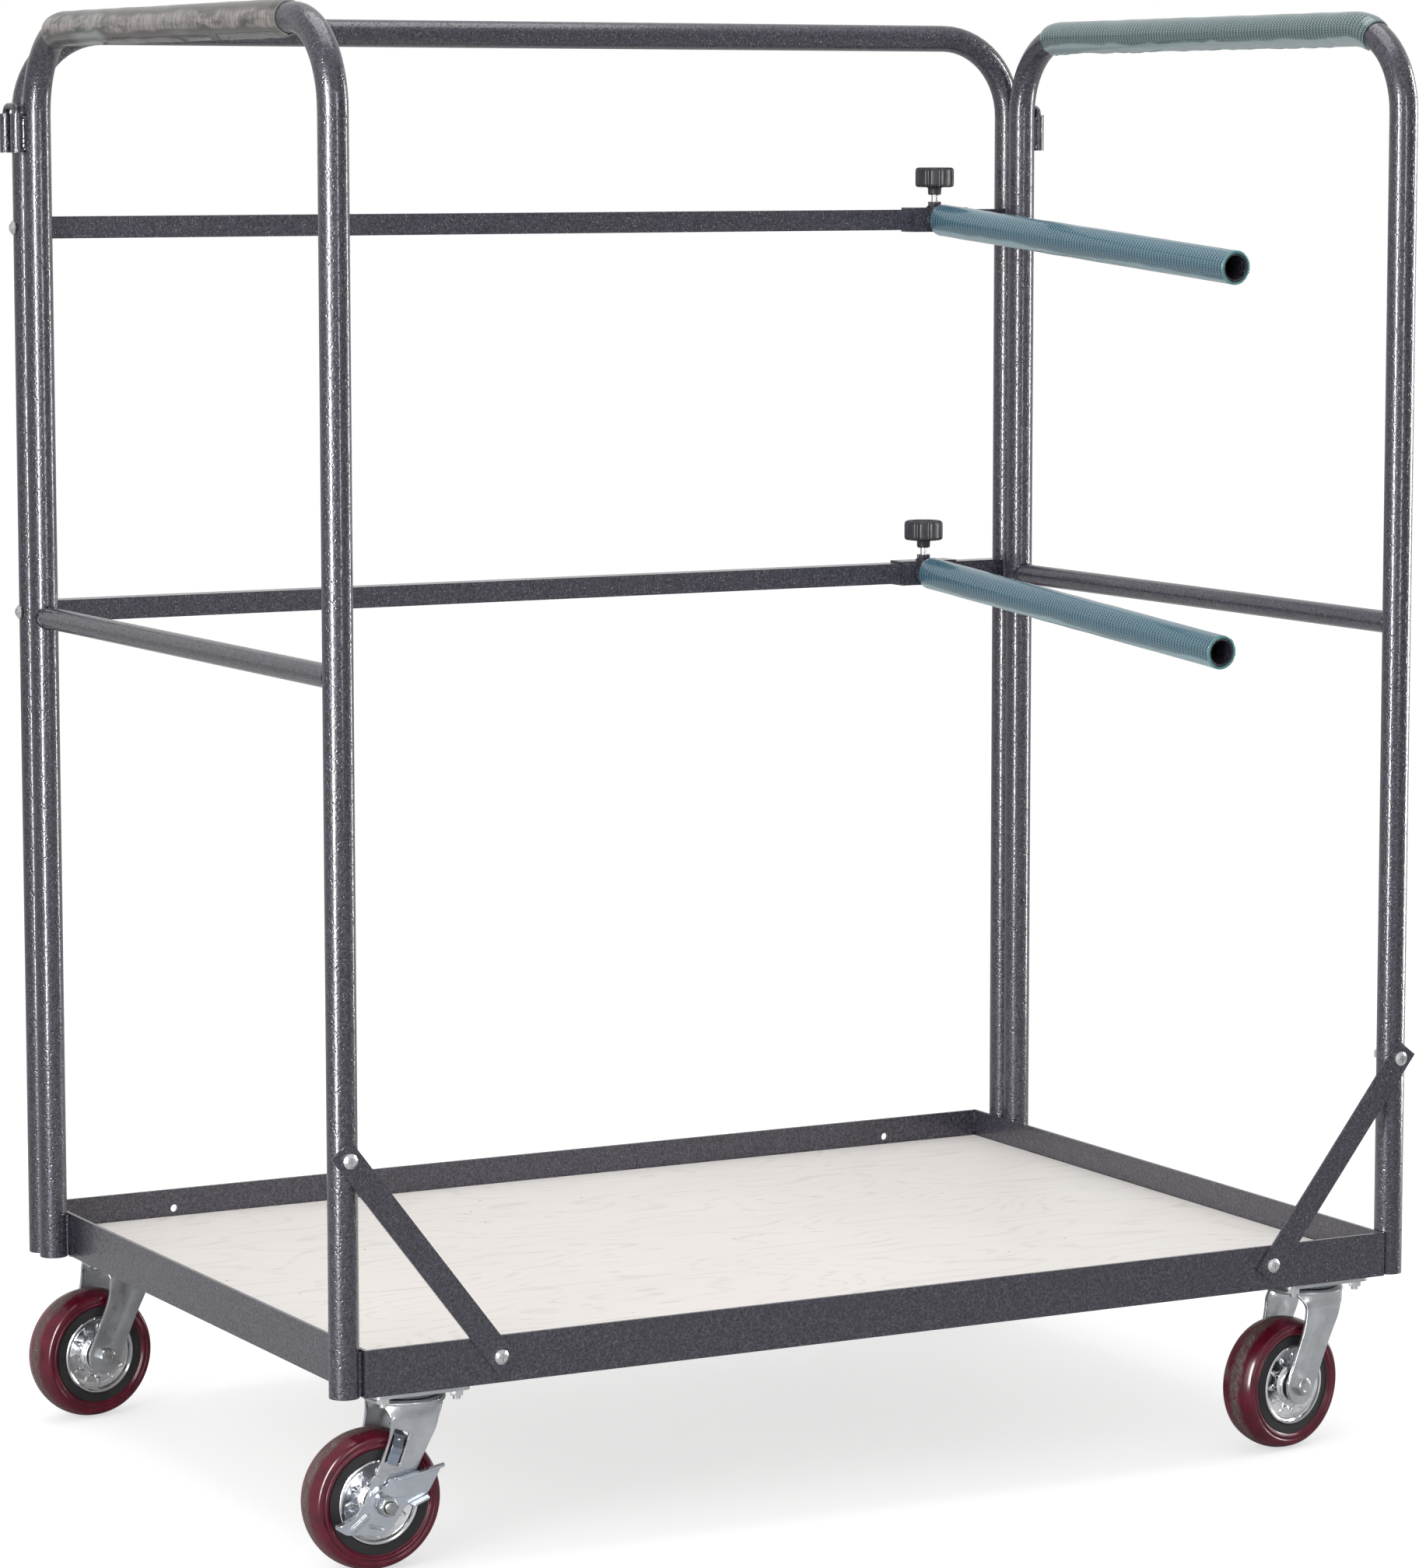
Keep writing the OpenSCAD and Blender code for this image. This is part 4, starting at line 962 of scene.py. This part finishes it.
def leaf_piece(corner, brake):
    """The spring leaf: a stepped strip in the fork's window, turned in over the tread as the shoe."""
    path = [(3.2, -9.5), (1.2, -15.5), (-0.9, -22.0), (-2.6, -27.5), (-4.2, -30.6), (-7.0, -32.3), (-11.0, -33.1),
            (-14.5, -33.6), (-15.8, -34.9), (-19.5, -35.4), (-23.0, -35.3), (-24.4, -34.5), (-29.0, -34.3),
            (-33.5, -34.5), (-36.5, -34.6)]
    path = rounded(path, 1.2, 3, closed=False)
    half, sheet = 6.5, 1.8
    build = Build()

    def section(i):
        width = half - 1.8 * (1.0 - ease(i, 0, 4))
        return [(-width, sheet / 2), (-width + 0.4, sheet), (width - 0.4, sheet), (width, sheet / 2),
                (width - 0.4, 0.0), (-width + 0.4, 0.0)]
    points = [(WINDOW @ Vector((0, 0, w))) + Vector((0, y, 0)) for w, y in path]
    across = (WINDOW.to_3x3() @ Vector((1, 0, 0))).normalized()
    ups = []
    for i in range(len(points)):
        tangent = points[min(i + 1, len(points) - 1)] - points[max(i - 1, 0)]
        ups.append(across.cross(tangent).normalized())
    cap_ends(build, sweep(build, points, section, up=lambda i: ups[i]), len(points), 6)
    stud = WINDOW @ Vector((0.5, 0, -9.5)) + Vector((0, -33.0, 0))
    build.grid(5, 16, lambda i, j: stud + Vector((
        2.0 * math.cos(i * 0.39) * math.cos(j * math.pi / 8), -2.0 * math.sin(i * 0.39) - 0.2,
        2.0 * math.cos(i * 0.39) * math.sin(j * math.pi / 8))))
    mesh = joined(corner + "_leaf", [build.mesh("leaf")], brake_matrix(corner, brake) @ Matrix.Scale(MM, 4), 45.0)
    add_piece(corner + "_leaf", mesh, SPRING, corner + "_fork", "spring_steel", corner + "_brake_leaf")


# ---------- knobs ----------

def knob_piece(which):
    """A moulded knob with nine shallow lobes, a rounded crown with a recess, and a ribbed collar."""
    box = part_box(which + "_clamp_knob")
    centre = Vector(((box[0][0] + box[1][0]) / 2, (box[0][1] + box[1][1]) / 2, box[0][2]))
    segments = 180
    height = (box[1][2] - box[0][2]) / MM
    skirt = 9.5
    lobes = 9
    # (radius, height, how lobed: 0 to 1)
    rings = [(4.3, 0.4, 0), (6.9, 0.0, 0), (7.9, 0.7, 0), (8.2, 2.2, 0), (8.4, skirt - 1.6, 0), (9.2, skirt - 0.4, 0),
             (12.0, skirt, 0), (19.5, skirt, 0.6), (22.3, skirt + 0.5, 1), (23.7, skirt + 2.0, 1),
             (24.0, skirt + 4.5, 1), (24.0, height - 5.0, 1), (23.6, height - 2.4, 1), (22.4, height - 0.8, 1),
             (20.6, height - 0.1, 0.8), (18.6, height - 0.2, 0.5), (17.2, height - 1.0, 0.2), (16.2, height - 2.2, 0),
             (14.0, height - 2.6, 0), (6.0, height - 2.3, 0), (0.05, height - 2.2, 0)]

    def point(i, j):
        r, z, lobed = rings[i]
        a = 2 * math.pi * j / segments
        valley = max(0.0, -math.cos(lobes * a)) ** 2.2
        r -= lobed * 2.1 * valley
        if 2 <= i <= 4:
            r -= 0.5 * max(0.0, math.cos(12 * a)) ** 3
        return centre + Vector((r * MM * math.cos(a), r * MM * math.sin(a), z * MM))
    build = Build()
    build.grid(len(rings), segments, point)
    add_piece(which + "_knob", build.mesh(which + "_knob", 40.0), KNOB, which + "_clamp_knob",
              "knob_plastic", which + "_clamp_knob")


# ---------- pieces ----------

# which side of the fork carries a brake: -1 or 1
BRAKE_SIDE = {"front_left": -1, "rear_right": 1}

root_welds()
sleeve_welds("end_pin_sleeves", REAR_Y, "trolley")
sleeve_welds("rear_pin_sleeves", BACK_Y, "rear_hoop")
for arm in ("upper", "lower"):
    clamp_welds(arm)
    arm_hose(arm)
    knob_piece(arm)
grip("left_grip_piece", -1, FRONT_Y + BEND_R + 10 * MM, 0.0, 19.0, [LEFT_GRIP, LEFT_LIP], 4.0)
grip("right_grip_piece", 1, FRONT_Y + BEND_R, 24.0, 15.0, [RIGHT_GRIP, RIGHT_LIP], 11.0)
for corner in ("front_left", "front_right", "rear_left", "rear_right"):
    tread_piece(corner)
    cap_piece(corner)
    braked = BRAKE_SIDE.get(corner, 0)
    fork_piece(corner, braked)
    axle_piece(corner, braked)
    if braked:
        pedal_piece(corner, braked)
        leaf_piece(corner, braked)


# ---------- stage ----------

def stage():
    """A white sweep: the camera sees it lit right through, the object sees a dimmer room with softboxes."""
    g = Graph("floor")
    g.set(Base_Color=(0.62, 0.62, 0.62, 1.0), Roughness=0.9, Emission_Color=(1.0, 1.0, 1.0, 1.0),
          Emission_Strength=g.math("MULTIPLY", g.add("ShaderNodeLightPath").outputs["Is Camera Ray"], 0.62))
    size = 60.0
    mesh = bpy.data.meshes.new("floor")
    mesh.from_pydata([(-size, -size, 0), (size, -size, 0), (size, size, 0), (-size, size, 0)], [], [(0, 1, 2, 3)])
    mesh.materials.append(g.material)
    floor = bpy.data.objects.new("floor", mesh)
    bpy.context.collection.objects.link(floor)

    world = bpy.data.worlds.new("studio")
    world.use_nodes = True
    tree = world.node_tree
    back = tree.nodes["Background"]
    back.inputs[0].default_value = (1.0, 1.0, 1.0, 1.0)
    # the room is dimmer towards the front right, as if a dark flag stood there
    toward = tree.nodes.new("ShaderNodeVectorMath")
    toward.operation = "DOT_PRODUCT"
    toward.inputs[1].default_value = (0.80, -0.60, 0.0)
    tree.links.new(tree.nodes.new("ShaderNodeTexCoord").outputs["Generated"], toward.inputs[0])
    flag = tree.nodes.new("ShaderNodeMapRange")
    flag.interpolation_type = "SMOOTHSTEP"
    for key, value in (("From Min", 0.62), ("From Max", 0.98), ("To Min", 0.66), ("To Max", 0.26)):
        flag.inputs[key].default_value = value
    tree.links.new(toward.outputs["Value"], flag.inputs["Value"])
    seen = tree.nodes.new("ShaderNodeMath")
    seen.operation = "MAXIMUM"
    tree.links.new(tree.nodes.new("ShaderNodeLightPath").outputs["Is Camera Ray"], seen.inputs[0])
    tree.links.new(flag.outputs[0], seen.inputs[1])
    tree.links.new(seen.outputs[0], back.inputs[1])
    bpy.context.scene.world = world

    softbox("left_strip", (-2.6, -1.45, 1.2), (0.42, 2.5), 150.0, diffuse=False)
    softbox("right_strip", (2.7, -0.50, 1.2), (0.30, 2.5), 62.0, diffuse=False)
    softbox("front_box", (-0.2, -4.2, 1.6), (0.35, 2.2), 26.0, diffuse=False)
    softbox("left_fill", (-3.2, -2.4, 2.2), (1.8, 1.6), 30.0)
    softbox("top_box", (0.0, 0.0, 4.2), (3.0, 2.4), 50.0)


def softbox(name, place, size, power, diffuse=True):
    """A lamp aimed at the object's middle; diffuse=False leaves only its reflections."""
    light = bpy.data.lights.new(name, "AREA")
    light.shape = "RECTANGLE"
    light.size, light.size_y = size
    light.energy = power
    lamp = bpy.data.objects.new(name, light)
    lamp.location = place
    aim = Vector((0.0, 0.0, min(place[2], 0.9))) - Vector(place)
    lamp.rotation_euler = aim.to_track_quat("-Z", "Y").to_euler()
    lamp.visible_camera = False
    lamp.visible_diffuse = diffuse
    bpy.context.collection.objects.link(lamp)


def camera():
    """The photograph's viewpoint, fitted to the object's edges."""
    data = bpy.data.cameras.new("camera")
    data.lens = 124.42
    data.sensor_width = 36.0
    data.clip_end = 200.0
    eye = bpy.data.objects.new("camera", data)
    eye.location = (-2.9133, -5.4271, 1.4818)
    turn = Matrix.Rotation(math.radians(-28.29), 4, "Z")
    tilt = Matrix.Rotation(math.radians(90.0 - 6.788), 4, "X")
    roll = Matrix.Rotation(math.radians(-0.045), 4, "Z")
    eye.rotation_euler = (turn @ tilt @ roll).to_euler()
    bpy.context.collection.objects.link(eye)
    bpy.context.scene.camera = eye
    bpy.context.scene.view_settings.view_transform = "Standard"


stage()
camera()
